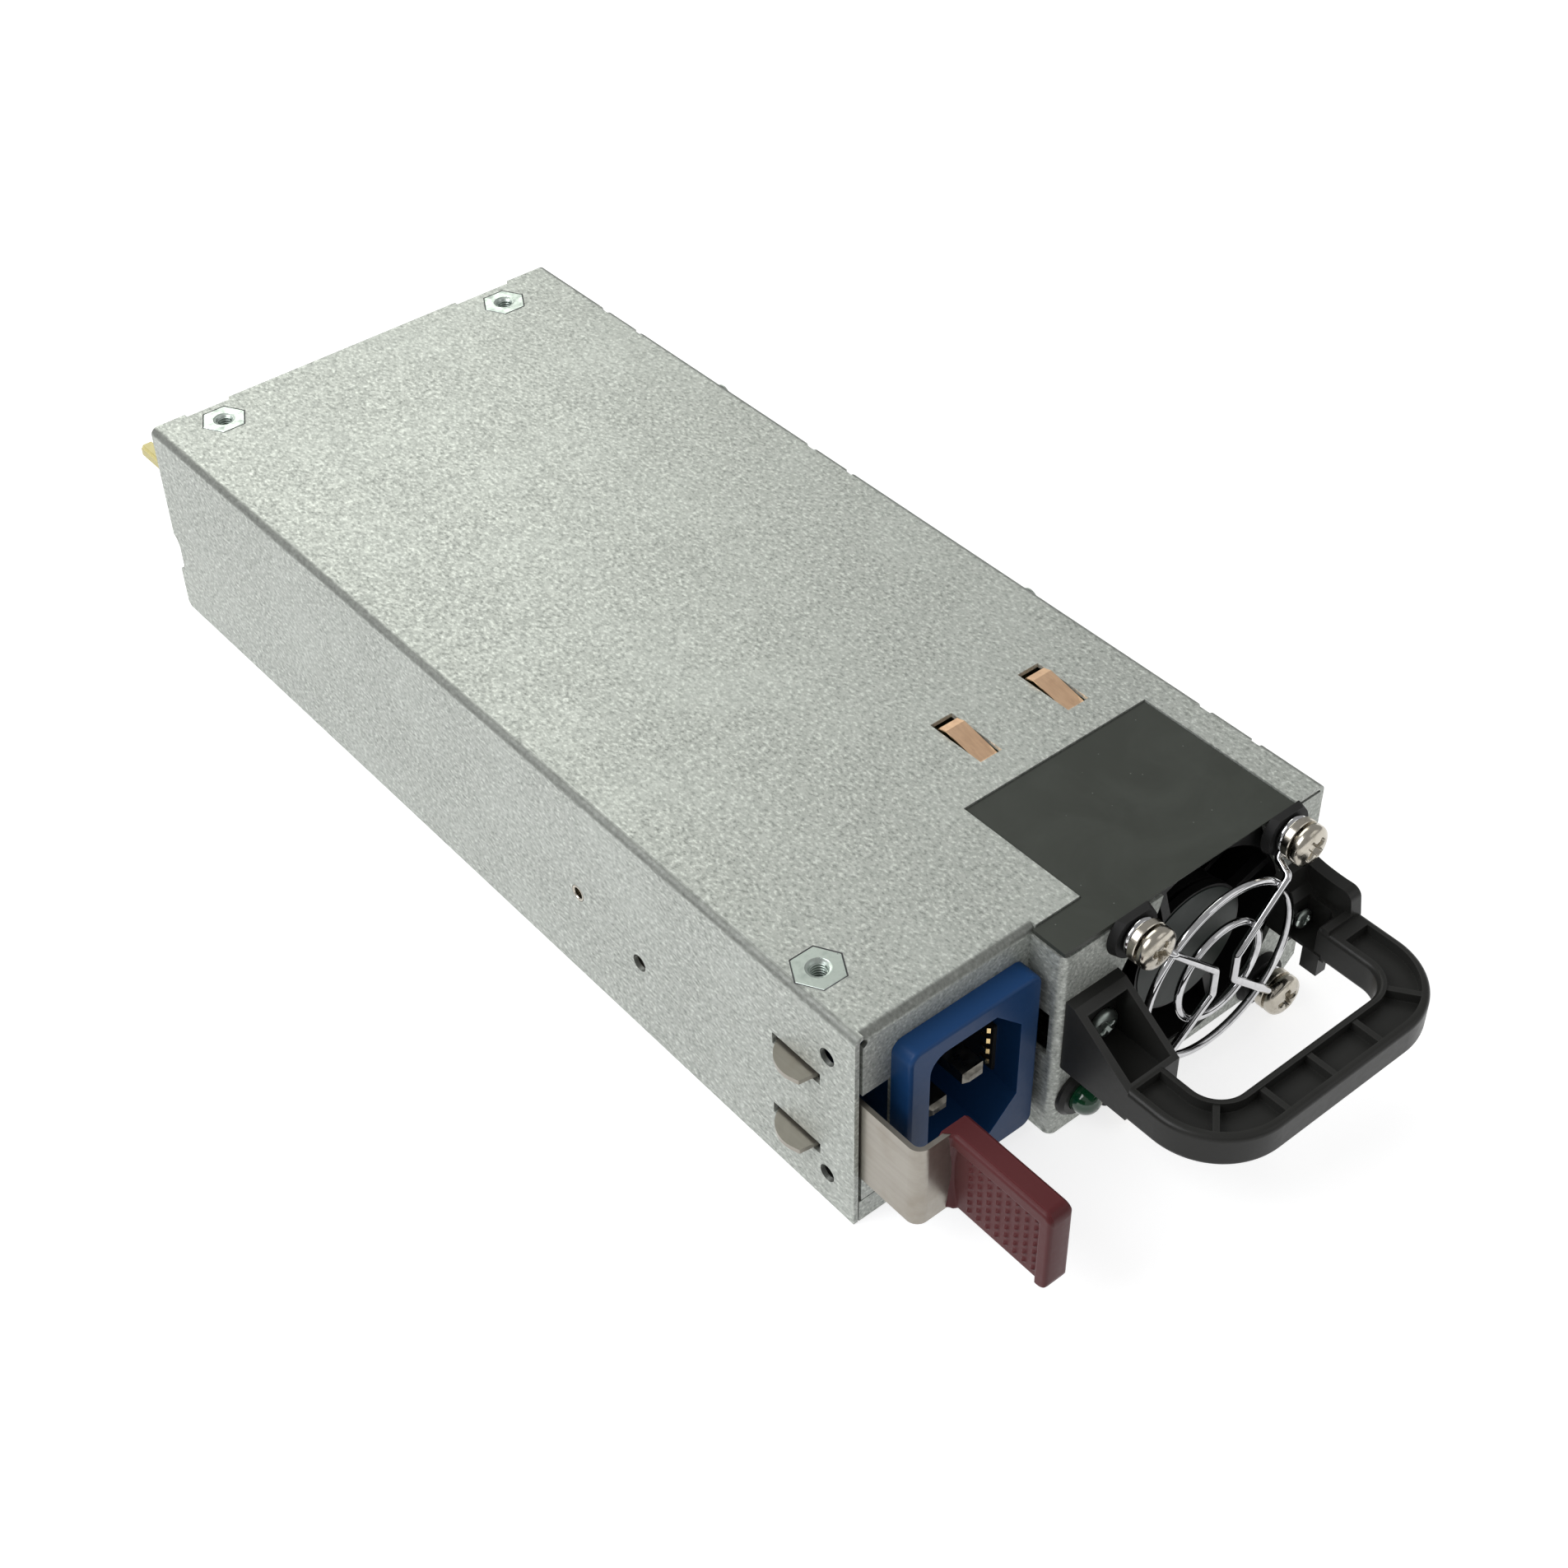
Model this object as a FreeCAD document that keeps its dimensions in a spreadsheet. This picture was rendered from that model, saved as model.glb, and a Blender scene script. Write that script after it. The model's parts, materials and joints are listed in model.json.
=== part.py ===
import FreeCAD, Part
import math
import os
import Sketcher

# Hot swap server power supply for a 1U slot.
# Frame: X to the right, Y to the rear, Z up; the origin is the middle of the bottom face.
# The inlet, the latch, the fan and the handle are at the front (-Y); the card edge is at the rear.

doc = FreeCAD.newDocument("server_power_supply")
sheet = doc.addObject("Spreadsheet::Sheet", "Sizes")
rows = []
nodes = []


class Size:
    """A length that knows its value and the spreadsheet expression that drives it."""

    def __init__(self, text, number):
        self.text = text
        self.number = number

    def __add__(self, other):
        return Size("(%s + %s)" % (self.text, text(other)), self.number + number(other))

    def __radd__(self, other):
        return Size("(%s + %s)" % (text(other), self.text), number(other) + self.number)

    def __sub__(self, other):
        return Size("(%s - %s)" % (self.text, text(other)), self.number - number(other))

    def __rsub__(self, other):
        return Size("(%s - %s)" % (text(other), self.text), number(other) - self.number)

    def __mul__(self, other):
        return Size("(%s * %s)" % (self.text, text(other)), self.number * number(other))

    def __rmul__(self, other):
        return Size("(%s * %s)" % (text(other), self.text), number(other) * self.number)

    def __truediv__(self, other):
        return Size("(%s / %s)" % (self.text, text(other)), self.number / number(other))

    def __neg__(self):
        return Size("(0 - %s)" % self.text, -self.number)


def text(value):
    return value.text if isinstance(value, Size) else "(%.6f)" % value


def number(value):
    return value.number if isinstance(value, Size) else float(value)


def size(alias, value):
    """Store a driving dimension in the sheet and return it as a Size."""
    rows.append(alias)
    row = len(rows)
    sheet.set("A%d" % row, alias)
    sheet.set("B%d" % row, str(value))
    sheet.setAlias("B%d" % row, alias)
    return Size("Sizes." + alias, float(value))


def bind(item, prop, value):
    """Tie a property to the sheet, or set it where the value is a plain number."""
    if isinstance(value, Size):
        item.setExpression(prop, value.text)
    else:
        item.setExpression(prop, "%.6f" % value)


def node(item, label):
    """Name a finished sub-part and list it for export."""
    item.Label = label
    nodes.append(item)
    return item


def new_body(label, x=0.0, y=0.0, z=0.0, axis=(0, 0, 1), angle=0.0):
    """An empty PartDesign body whose local origin is at x, y, z."""
    body = doc.addObject("PartDesign::Body", label)
    rotation = FreeCAD.Rotation(FreeCAD.Vector(*axis), angle)
    body.Placement = FreeCAD.Placement(FreeCAD.Vector(number(x), number(y), number(z)), rotation)
    for prop, value in (("x", x), ("y", y), ("z", z)):
        bind(body, "Placement.Base." + prop, value)
    return body


def datum(body, role):
    """One of the body's own origin planes or axes."""
    return [feature for feature in body.Origin.OriginFeatures if feature.Role == role][0]


def new_sketch(body, plane, level):
    """A sketch on the body's XY, XZ or YZ plane, moved to a level along that plane's axis."""
    sketch = body.newObject("Sketcher::SketchObject", body.Name + "_sketch")
    sketch.AttachmentSupport = [(datum(body, plane + "_Plane"), "")]
    sketch.MapMode = "FlatFace"
    bind(sketch, "AttachmentOffset.Base.z", -1.0 * level if plane == "XZ" else 1.0 * level)
    return sketch


def arc_between(start, end, radius):
    """The arc from start to end; a positive radius bulges to the right of the way there."""
    chord = end - start
    across = FreeCAD.Vector(chord.y, -chord.x, 0).normalize()
    rise = abs(radius) - math.sqrt(max(radius * radius - chord.Length ** 2 / 4, 0.0))
    side = 1 if radius > 0 else -1
    return Part.Arc(start, start + chord * 0.5 + across * (rise * side), end)


def add_outline(sketch, points):
    """A closed outline; a third value on a point makes the stretch after it an arc of that radius."""
    first = sketch.GeometryCount
    count = len(points)
    ends = [FreeCAD.Vector(number(p[0]), number(p[1]), 0) for p in points]
    shapes = []
    for i, point in enumerate(points):
        end = ends[(i + 1) % count]
        if len(point) > 2:
            shapes.append(arc_between(ends[i], end, number(point[2])))
        else:
            shapes.append(Part.LineSegment(ends[i], end))
    sketch.addGeometry(shapes, False)
    # A three-point arc that runs clockwise is stored the other way round.
    tails = []
    for i in range(count):
        begins = sketch.getPoint(first + i, 1)
        tails.append((1, 2) if (begins - ends[i]).Length < 1e-6 else (2, 1))
    for i, point in enumerate(points):
        after = (i + 1) % count
        sketch.addConstraint(Sketcher.Constraint(
            "Coincident", first + i, tails[i][1], first + after, tails[after][0]))
        pin(sketch, first + i, tails[i][0], point)
        if len(point) > 2:
            index = sketch.addConstraint(
                Sketcher.Constraint("Radius", first + i, abs(number(point[2]))))
            bind(sketch, "Constraints[%d]" % index, point[2] if number(point[2]) > 0 else -point[2])


def pin(sketch, shape, end, point):
    """Hold one point of a shape at its distances from the sketch's origin."""
    for kind, value in (("DistanceX", point[0]), ("DistanceY", point[1])):
        index = sketch.addConstraint(Sketcher.Constraint(kind, -1, 1, shape, end, number(value)))
        bind(sketch, "Constraints[%d]" % index, value)


def add_circle(sketch, x, y, radius):
    centre = FreeCAD.Vector(number(x), number(y), 0)
    index = sketch.addGeometry(Part.Circle(centre, FreeCAD.Vector(0, 0, 1), number(radius)), False)
    pin(sketch, index, 3, (x, y))
    held = sketch.addConstraint(Sketcher.Constraint("Radius", index, number(radius)))
    bind(sketch, "Constraints[%d]" % held, radius)


def rect(x0, y0, x1, y1):
    return [(x0, y0), (x1, y0), (x1, y1), (x0, y1)]


def draw(sketch, loops):
    """Fill a sketch with outlines (lists of points) and circles (x, y, radius)."""
    for loop in loops:
        if isinstance(loop, tuple):
            add_circle(sketch, *loop)
        else:
            add_outline(sketch, loop)


def extrude(body, kind, plane, loops, low, high):
    """Pad or pocket the loops from low to high along the plane's axis."""
    pads = kind == "Pad"
    from_high = pads == (plane == "XZ")
    sketch = new_sketch(body, plane, high if from_high else low)
    draw(sketch, loops)
    feature = body.newObject("PartDesign::" + kind, body.Name + "_" + kind.lower())
    feature.Profile = sketch
    bind(feature, "Length", high - low)
    sketch.Visibility = False
    return feature


def pad(body, plane, loops, low, high):
    return extrude(body, "Pad", plane, loops, low, high)


def pocket(body, plane, loops, low, high):
    return extrude(body, "Pocket", plane, loops, low, high)


def revolve(body, loops, angle=360.0):
    """Turn outlines of (radius, height) points about the body's own Z axis."""
    sketch = new_sketch(body, "XZ", 0.0)
    draw(sketch, loops)
    feature = body.newObject("PartDesign::Revolution", body.Name + "_turn")
    feature.Profile = sketch
    feature.ReferenceAxis = (sketch, ["V_Axis"])
    feature.Angle = angle
    return feature


def edges_where(shape, test):
    return ["Edge%d" % i for i, edge in enumerate(shape.Edges, 1) if test(edge)]


def near(a, b):
    return abs(number(a) - number(b)) < 0.02


def runs_along(edge, axis, places):
    """True for a straight edge along an axis that passes through one of the places."""
    if len(edge.Vertexes) < 2 or edge.Curve.TypeId != "Part::GeomLine":
        return False
    others = [k for k in range(3) if k != "XYZ".index(axis)]
    a, b = edge.Vertexes[0].Point, edge.Vertexes[1].Point
    if any(abs(a[k] - b[k]) > 1e-4 for k in others):
        return False
    return any(near(a[others[0]], u) and near(a[others[1]], v) for u, v in places)


def blend(body, radius, axis, places, kind="Fillet"):
    """Round or chamfer the body's straight edges that run along an axis through the places."""
    blend_where(body, radius, lambda edge: runs_along(edge, axis, places), kind)


def blend_where(body, radius, test, kind="Fillet"):
    doc.recompute()
    tip = body.Tip
    names = edges_where(tip.Shape, test)
    if not names:
        raise ValueError(body.Name + " has no edge to blend")
    feature = body.newObject("PartDesign::" + kind, body.Name + "_" + kind.lower())
    feature.Base = (tip, names)
    bind(feature, "Radius" if kind == "Fillet" else "Size", radius)
    tip.Visibility = False


def block(label, x, y, z, length, width, height):
    """A plain box between a low corner and its three sizes."""
    item = doc.addObject("Part::Box", label)
    bind(item, "Placement.Base.x", x)
    bind(item, "Placement.Base.y", y)
    bind(item, "Placement.Base.z", z)
    bind(item, "Length", length)
    bind(item, "Width", width)
    bind(item, "Height", height)
    return item


AXES = {
    "X": ((0, 1, 0), 90),
    "-X": ((0, 1, 0), -90),
    "Y": ((1, 0, 0), -90),
    "-Y": ((1, 0, 0), 90),
    "Z": ((0, 0, 1), 0),
    "-Z": ((1, 0, 0), 180),
}


def rod(label, x, y, z, radius, length, way):
    """A cylinder from a point along X, Y or Z."""
    item = doc.addObject("Part::Cylinder", label)
    axis, angle = AXES[way]
    item.Placement = FreeCAD.Placement(
        FreeCAD.Vector(0, 0, 0), FreeCAD.Rotation(FreeCAD.Vector(*axis), angle))
    bind(item, "Placement.Base.x", x)
    bind(item, "Placement.Base.y", y)
    bind(item, "Placement.Base.z", z)
    bind(item, "Radius", radius)
    bind(item, "Height", length)
    return item


def turned(label, profile, x, y, z, way):
    """A turned piece whose axis leaves x, y, z along X, Y or Z."""
    axis, angle = AXES[way]
    body = new_body(label, x, y, z, axis, angle)
    revolve(body, [profile])
    return body


def group(label, items):
    """Separate solids that share one node."""
    item = doc.addObject("Part::Compound", label)
    item.Links = items
    return node(item, label)


def fused(label, items):
    item = doc.addObject("Part::MultiFuse", label)
    item.Shapes = items
    item.Refine = True
    return item


def trimmed(label, base, tool):
    item = doc.addObject("Part::Cut", label)
    item.Base = base
    item.Tool = tool
    item.Refine = True
    return item


# Driving dimensions, millimetres.
case_width = size("case_width", 86.4)
case_height = size("case_height", 39.4)
case_length = size("case_length", 198.0)
steel = size("steel", 0.8)
bend = size("bend_radius", 0.6)
fit = size("fit_gap", 0.2)
fan_step = size("fan_step", 6.7)
bay_width = size("bay_width", 32.5)
rim_height = size("rim_height", 5.0)
cover_inset = size("cover_inset", 1.4)
vent_pitch = size("vent_pitch", 5.0)
hook_length = size("hook_length", 8.0)
film = size("film_thickness", 0.2)
nut_hex = size("nut_hex_radius", 4.3)
nut_bore = size("nut_bore_radius", 1.25)
nut_body = size("nut_body_radius", 2.7)
nut_depth = size("nut_depth", 4.4)
inner_bore = size("inner_bore_radius", 1.0)
board_drop = size("board_drop", 8.4)
board = size("board_thickness", 2.4)
card_reach = size("card_reach", 9.0)
board_front = size("board_front", -66.0)
lead = size("lead_radius", 0.9)
inlet_width = size("inlet_width", 24.9)
inlet_height = size("inlet_height", 32.1)
inlet_reach = size("inlet_reach", 4.0)
socket_width = size("socket_width", 17.5)
socket_height = size("socket_height", 24.8)
socket_depth = size("socket_depth", 18.0)
latch_steel = size("latch_thickness", 0.8)
latch_height = size("latch_height", 15.8)
latch_low = size("latch_low", 9.8)
latch_reach = size("latch_reach", 11.8)
latch_root = size("latch_root", 64.9)
fan_size = size("fan_size", 38.0)
fan_depth = size("fan_depth", 28.0)
fan_pitch = size("fan_pitch", 32.0)
fan_offset = size("fan_offset", 18.3)
fan_bore = size("fan_bore_radius", 18.2)
hub = size("hub_radius", 10.8)
wire = size("guard_wire", 1.3)
handle_bar = size("handle_bar", 7.6)
handle_depth = size("handle_depth", 6.0)
handle_reach = size("handle_reach", 30.7)
handle_top = size("handle_top", 21.0)
handle_corner = size("handle_corner", 12.5)
handle_seats = (size("left_seat", 1.2), size("right_seat", 3.6))
lamp_height = size("lamp_height", 7.2)
grommet_lip = size("grommet_lip", 1.4)
eye_radius = size("eye_radius", 2.6)
outer_ring = size("outer_ring_radius", 15.45)
inner_ring = size("inner_ring_radius", 8.55)
tab_length = size("tab_length", 18.6)
bulk_radius = size("bulk_radius", 11.0)
bulk_length = size("bulk_length", 38.0)
core_width = size("core_width", 34.0)
tab_thickness = size("tab_thickness", 4.3)

left = case_width / -2.0
right = case_width / 2.0
front = case_length / -2.0
rear = case_length / 2.0
bay_front = front + fan_step
step_x = left + bay_width
top = case_height * 1.0
under = top - steel

board_top = top - board_drop
board_low = board_top - board

fan_x = fan_offset * 1.0
fan_z = steel + 0.05 + fan_size / 2
fan_front = front + steel + 0.3
fan_rear = fan_front + fan_depth
window_left = fan_x - fan_size / 2 - 0.5
window_right = fan_x + fan_size / 2 - 0.5
window_rear = fan_rear + 1.6

inlet_x = left + 19.0
inlet_z = size("inlet_middle", 18.8)

hooks = [bay_front + 11.2, bay_front + 104.8, bay_front + 165.2]
nuts = [(left + 11.6, rear - 5.9), (right - 13.9, rear - 6.1), (left + 5.0, bay_front + 13.4)]


def fan_corners():
    half = fan_pitch / 2
    return [(fan_x + half * sx, fan_z + half * sz) for sx in (-1.0, 1.0) for sz in (-1.0, 1.0)]


def hexagon(x, y, radius):
    turn = [math.radians(60 * k) for k in range(6)]
    return [(x + radius * math.cos(a), y + radius * math.sin(a)) for a in turn]


def octagon(x, y, radius):
    """Eight corners whose outline has about the area of the circle."""
    turn = [math.radians(45 * k + 22.5) for k in range(8)]
    return [(x + 1.05 * radius * math.cos(a), y + 1.05 * radius * math.sin(a)) for a in turn]


def base_tray():
    """Top, left wall and right rim bent from one sheet, with the two front flanges."""
    sheet_metal = new_body("tray_sheet")
    channel = [
        (left, 0.0), (left, top), (right, top), (right, top - rim_height),
        (right - steel, top - rim_height), (right - steel, under), (left + steel, under),
        (left + steel, 0.0)]
    pad(sheet_metal, "XZ", [channel], front, rear)
    blend(sheet_metal, bend + steel, "Y", [(left, top), (right, top)])
    blend(sheet_metal, bend, "Y", [(left + steel, under), (right - steel, under)])
    cut_tray_front(sheet_metal)
    cut_tray_top(sheet_metal)
    cut_tray_wall(sheet_metal)
    parts = [sheet_metal, inlet_flange(), fan_flange()] + rear_flanges()
    return node(fused("base_tray", parts), "base_tray")


def cut_tray_front(body):
    lap = 2 * (bend + steel)
    front_edge = [
        (left - 1.0, front - 1.0), (window_right, front - 1.0), (window_right, window_rear),
        (window_left, window_rear), (window_left, bay_front), (step_x + steel, bay_front),
        (step_x + steel, bay_front + lap), (left + bend + steel, bay_front + lap),
        (left + bend + steel, bay_front), (left - 1.0, bay_front)]
    pocket(body, "XY", [front_edge], -1.0, top + 1.0)


def cut_tray_top(body):
    seats = [hexagon(x, y, nut_hex) for x, y in nuts]
    windows = [spring_window(x) for x in spring_places()]
    pocket(body, "XY", seats + windows, under - 1.0, top + 1.0)
    corners = [
        rect(left + 7.0, rear - steel, left + 16.0, rear + 1.0),
        rect(right - 21.0, rear - steel, right - 9.0, rear + 1.0)]
    pocket(body, "XY", corners, under - 1.0, top + 1.0)
    notches = []
    for y in hooks:
        half = hook_length / 2
        notches.append(rect(right - 1.5 * steel, y - half - 2.0, right + 1.0, y - half))
        notches.append(rect(right - 1.5 * steel, y + half, right + 1.0, y + half + 3.0))
        notches.append(rect(right - 0.5, y - half - 0.5, right + 1.0, y + half + 0.5))
    for notch in notches:
        pocket(body, "XY", [notch], top - rim_height - 1.0, top + 1.0)
    screws = [(y, top - 2.7, 1.3) for y in rim_screw_places()]
    pocket(body, "YZ", screws, right - 2 * steel, right + 1.0)


def rim_screw_places():
    """Distances along the right rim of the two screws that hold the cover."""
    return [bay_front + 56.0, bay_front + 136.0]


def spring_places():
    return [window_left + 11.1, window_right - 8.5]


def spring_window(x):
    y = window_rear + 11.4
    return rect(x - 2.2, y - 5.6, x + 2.2, y + 5.6)


def cut_tray_wall(body):
    """Round holes, the two latch slots and the rear notch of the left wall."""
    holes = [
        (bay_front + latch_root, 18.2, 1.5), (bay_front + 49.5, 14.9, 1.5),
        (bay_front + 5.8, 31.2, 1.5), (bay_front + 5.8, 6.2, 1.5)]
    slots = [rect(bay_front + 7.3, z - 1.1, bay_front + 17.7, z + 1.1) for z in fin_heights()]
    notch = [(rear + 1.0, 8.0), (rear + 1.0, 17.2), (rear - 1.0, 15.6), (rear - 1.8, 13.5),
             (rear - 1.8, 10.5), (rear - 1.0, 9.0)]
    pocket(body, "YZ", holes + slots + [notch], left - 1.0, left + 2 * steel)
    foot = [(rear + 1.0, -1.0), (rear + 1.0, 1.4), (rear - 2.2, -1.0)]
    pocket(body, "YZ", [foot], left - 1.0, left + 2 * steel)


def fin_heights():
    return [latch_low + latch_steel / 2, latch_low + latch_height - latch_steel / 2]


def inlet_flange():
    """Flange bent down in front of the inlet, open for the inlet and for the latch arm."""
    body = new_body("inlet_flange")
    lap = 2 * (bend + steel)
    profile = [
        (bay_front, 4.5), (bay_front, top), (bay_front + lap, top), (bay_front + lap, under),
        (bay_front + steel, under), (bay_front + steel, 4.5)]
    pad(body, "YZ", [profile], left + bend + steel, step_x + steel)
    blend(body, bend + steel, "X", [(bay_front, top)])
    blend(body, bend, "X", [(bay_front + steel, under)])
    shell = inlet_shell(fit + 0.1)
    shell[0] = (shell[0][0], 4.0)
    shell[1] = (shell[1][0], 4.0)
    pocket(body, "XZ", [shell], bay_front - 1.0, bay_front + 2 * steel)
    latch_gap = rect(left, latch_low - 0.6, left + 6.8, latch_low + latch_height + 1.6)
    pocket(body, "XZ", [latch_gap], bay_front - 1.0, bay_front + 2 * steel)
    pocket(body, "XZ", [(left + bend + steel, top - 1.7, 0.8)], bay_front - 1.0, bay_front + 2 * steel)
    return body


def fan_flange():
    """Step wall and fan flange: the mounting face of the fan, the handle and the lamp."""
    body = new_body("fan_flange")
    plan = [
        (step_x, bay_front + steel), (step_x, front), (right, front), (right, front + steel),
        (step_x + steel, front + steel), (step_x + steel, bay_front + steel)]
    pad(body, "XY", [plan], 0.3, top - 1.4)
    blend(body, bend + steel, "Z", [(step_x, front)])
    blend(body, bend, "Z", [(step_x + steel, front + steel)])
    holes = [(fan_x, fan_z, fan_bore + 0.1)]
    holes += [(x, z, 2.6) for x, z in fan_corners()]
    holes += [(x, z, 1.05) for x, z in handle_screw_places()]
    holes += [lamp_place() + (3.4,)]
    ends = (front - 1.0, front + 1.5 * steel)
    pocket(body, "XZ", [[
        (fan_x - 9.0, top), (fan_x - 10.4, fan_z + 14.0), (fan_x + 15.5, fan_z + 9.5),
        (fan_x + 11.5, top)]], *ends)
    for hole in holes:
        pocket(body, "XZ", [hole], *ends)
    corner = [(right - 4.0, -1.0), (right + 1.0, -1.0), (right + 1.0, 4.0)]
    pocket(body, "XZ", [corner], *ends)
    slot = rect(bay_front - 4.8, inlet_z - 2.0, bay_front - 1.8, inlet_z + 6.5)
    pocket(body, "YZ", [slot], step_x - 1.0, step_x + 2 * steel)
    return body


def rear_flanges():
    """Short flange along the rear edge, in three lengths between the rear nuts."""
    spans = [(left + 1.6, left + 7.0), (left + 16.0, right - 21.0), (right - 9.0, right - 1.6)]
    parts = []
    for i, (start, end) in enumerate(spans):
        body = new_body("rear_flange_%d" % (i + 1))
        lap = 2 * (bend + steel)
        profile = [
            (rear, top - 4.0), (rear, top), (rear - lap, top), (rear - lap, under),
            (rear - steel, under), (rear - steel, top - 4.0)]
        pad(body, "YZ", [profile], start, end)
        blend(body, bend + steel, "X", [(rear, top)])
        parts.append(body)
    return parts


def cover():
    """Bottom, right wall, rear wall and front lip, slid into the tray from below."""
    body = new_body("cover")
    inner = left + steel + fit
    outer = right - cover_inset
    bay_end = step_x - fit
    behind = bay_front + steel + fit
    fan_floor = front + steel + fit
    tail = rear - steel - fit
    floor = [
        (inner, bay_front), (bay_end, bay_front), (bay_end, behind), (step_x + steel + fit, behind),
        (step_x + steel + fit, fan_floor), (outer, fan_floor), (outer, tail), (inner, tail)]
    pad(body, "XY", [floor], 0.0, steel)
    pad(body, "YZ", [rect(fan_floor, 0.0, tail, under - fit)], outer - steel, outer)
    pad(body, "XZ", [rect(inner, 0.0, bay_end, 4.3)], bay_front, bay_front + steel)
    pad(body, "XZ", [rect(inner, 0.0, outer, under - fit)], tail - steel, tail)
    pad(body, "YZ", [rect(bay_front + 72.0, 0.0, tail, 6.0)], inner, inner + steel)
    blend(body, bend + steel, "Y", [(outer, 0.0)])
    blend(body, bend, "Y", [(outer - steel, steel)])
    screws = [(y, top - 2.7, 1.3) for y in rim_screw_places()]
    pocket(body, "YZ", screws, outer - 2 * steel, outer + 1.0)
    card_slot = rect(left + 3.0, board_low - 1.0, right - 18.0, board_top + 1.0)
    pocket(body, "XZ", [card_slot], tail - 2 * steel, tail + 1.0)
    cut_vents(body, tail)
    return node(body, "cover")


def cut_vents(body, tail):
    """Staggered hexagonal vents across the rear wall, under the card edge."""
    column = []
    for row in range(4):
        shift = vent_pitch / 2 if row % 2 else 0.0
        column.append(hexagon(left + 9.0 + shift, 5.5 + vent_pitch * 0.9 * row, vent_pitch * 0.42))
    vents = pocket(body, "XZ", column, tail - 2 * steel, tail + 1.0)
    body.Tip = vents
    rows_of_vents = body.newObject("PartDesign::LinearPattern", "vents")
    rows_of_vents.Originals = [vents]
    rows_of_vents.Direction = (datum(body, "X_Axis"), [""])
    bind(rows_of_vents, "Length", vent_pitch * 13.0)
    rows_of_vents.Occurrences = 14
    body.Tip = rows_of_vents


def clinch_standoffs():
    """Hexagonal clinch nuts flush in the top: two blind ones, and one that also takes the earth screw."""
    blind = top - nut_depth - 0.8
    feet = [blind, blind, board_top + 2.0]
    posts = []
    for i, ((x, y), foot) in enumerate(zip(nuts, feet)):
        body = new_body("standoff_%d" % (i + 1), x, y)
        pad(body, "XY", [hexagon(0.0, 0.0, nut_hex)], under, top + 0.03)
        pad(body, "XY", [(0.0, 0.0, nut_body)], foot, under)
        pocket(body, "XY", [(0.0, 0.0, nut_bore)], top - nut_depth, top + 1.0)
        if i == 2:
            pocket(body, "XY", [(0.0, 0.0, inner_bore)], foot - 1.0, top - nut_depth + 0.5)
        blend_where(body, 0.35, lambda edge: is_rim(edge, top.number + 0.03, nut_bore.number),
                    "Chamfer")
        posts.append(body)
    return group("clinch_standoffs", posts)


def board_post_places():
    """Posts beside the two rear nuts, nearer the middle."""
    return [(nuts[0][0] + 8.4, nuts[0][1]), (nuts[1][0] - 8.4, nuts[1][1])]


def board_posts():
    """Concealed-head posts on the inside of the top that carry the rear of the board."""
    posts = []
    for i, (x, y) in enumerate(board_post_places()):
        body = new_body("board_post_%d" % (i + 1), x, y)
        pad(body, "XY", [(0.0, 0.0, nut_body)], board_top, under)
        pocket(body, "XY", [(0.0, 0.0, inner_bore)], board_top - 1.0, board_top + 4.0)
        posts.append(body)
    return group("board_posts", posts)


def is_rim(edge, z, radius):
    """True for a circular edge of a radius in the plane at height z."""
    if edge.Curve.TypeId != "Part::GeomCircle":
        return False
    return abs(edge.Curve.Radius - radius) < 0.01 and abs(edge.Curve.Center.z - z) < 0.01


def fan_film():
    """Black film behind the fan window, raised a little where the fan pushes it up."""
    body = new_body("fan_film")
    lap = 2.5
    skirt = [
        (step_x + steel, front + 0.1), (window_right + lap, front + 0.1),
        (window_right + lap, window_rear + lap), (window_left - lap, window_rear + lap),
        (window_left - lap, bay_front + lap), (step_x + steel, bay_front + lap)]
    panel = [
        (step_x + 0.1, front + 0.1), (window_right - 0.15, front + 0.1),
        (window_right - 0.15, window_rear - 0.15), (window_left + 0.15, window_rear - 0.15),
        (window_left + 0.15, bay_front - 0.15), (step_x + 0.1, bay_front - 0.15)]
    hollow = rect(window_left + 0.4, front, window_right - 0.4, window_rear - 0.4)
    pad(body, "XY", [skirt], under - film, under)
    pad(body, "XY", [panel], under - film, under + 0.5)
    pocket(body, "XY", [hollow], under - 1.0, under + 0.5 - film)
    return node(body, "fan_film")


def ground_springs():
    """Two copper leaves that rise through their windows and press on the cage above."""
    for side, x in zip(("left", "right"), spring_places()):
        body = new_body("ground_spring_" + side, x, window_rear + 11.4, under)
        thick = 0.25
        upper = [(-7.6, -0.02), (-4.8, -0.02), (0.8, 1.2), (2.4, 1.5), (4.0, 1.0), (5.0, -0.6)]
        lower = [(y, z - thick) for y, z in reversed(upper)]
        pad(body, "YZ", [upper + lower], -1.9, 1.9)
        node(body, "ground_spring_" + side)


def inlet_shell(gap=0.0):
    """Outline of the inlet behind its bezel, grown by a gap."""
    x0 = inlet_x - socket_width / 2 - 1.3 - gap
    x1 = inlet_x + socket_width / 2 + 1.3 + gap
    z0 = inlet_z - socket_height / 2 - 1.3 - gap
    z1 = inlet_z + socket_height / 2 + 1.3 + gap
    return rect(x0, z0, x1, z1)


def inlet_face():
    return bay_front - inlet_reach


def pin_places():
    """Centres of the line, neutral and earth blades."""
    return [
        (inlet_x - 2.0, inlet_z + 7.0), (inlet_x - 2.0, inlet_z - 7.0), (inlet_x + 2.0, inlet_z)]


def contact_heights():
    return [inlet_z + 4.0 + 2.2 * k for k in range(4)]


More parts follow.
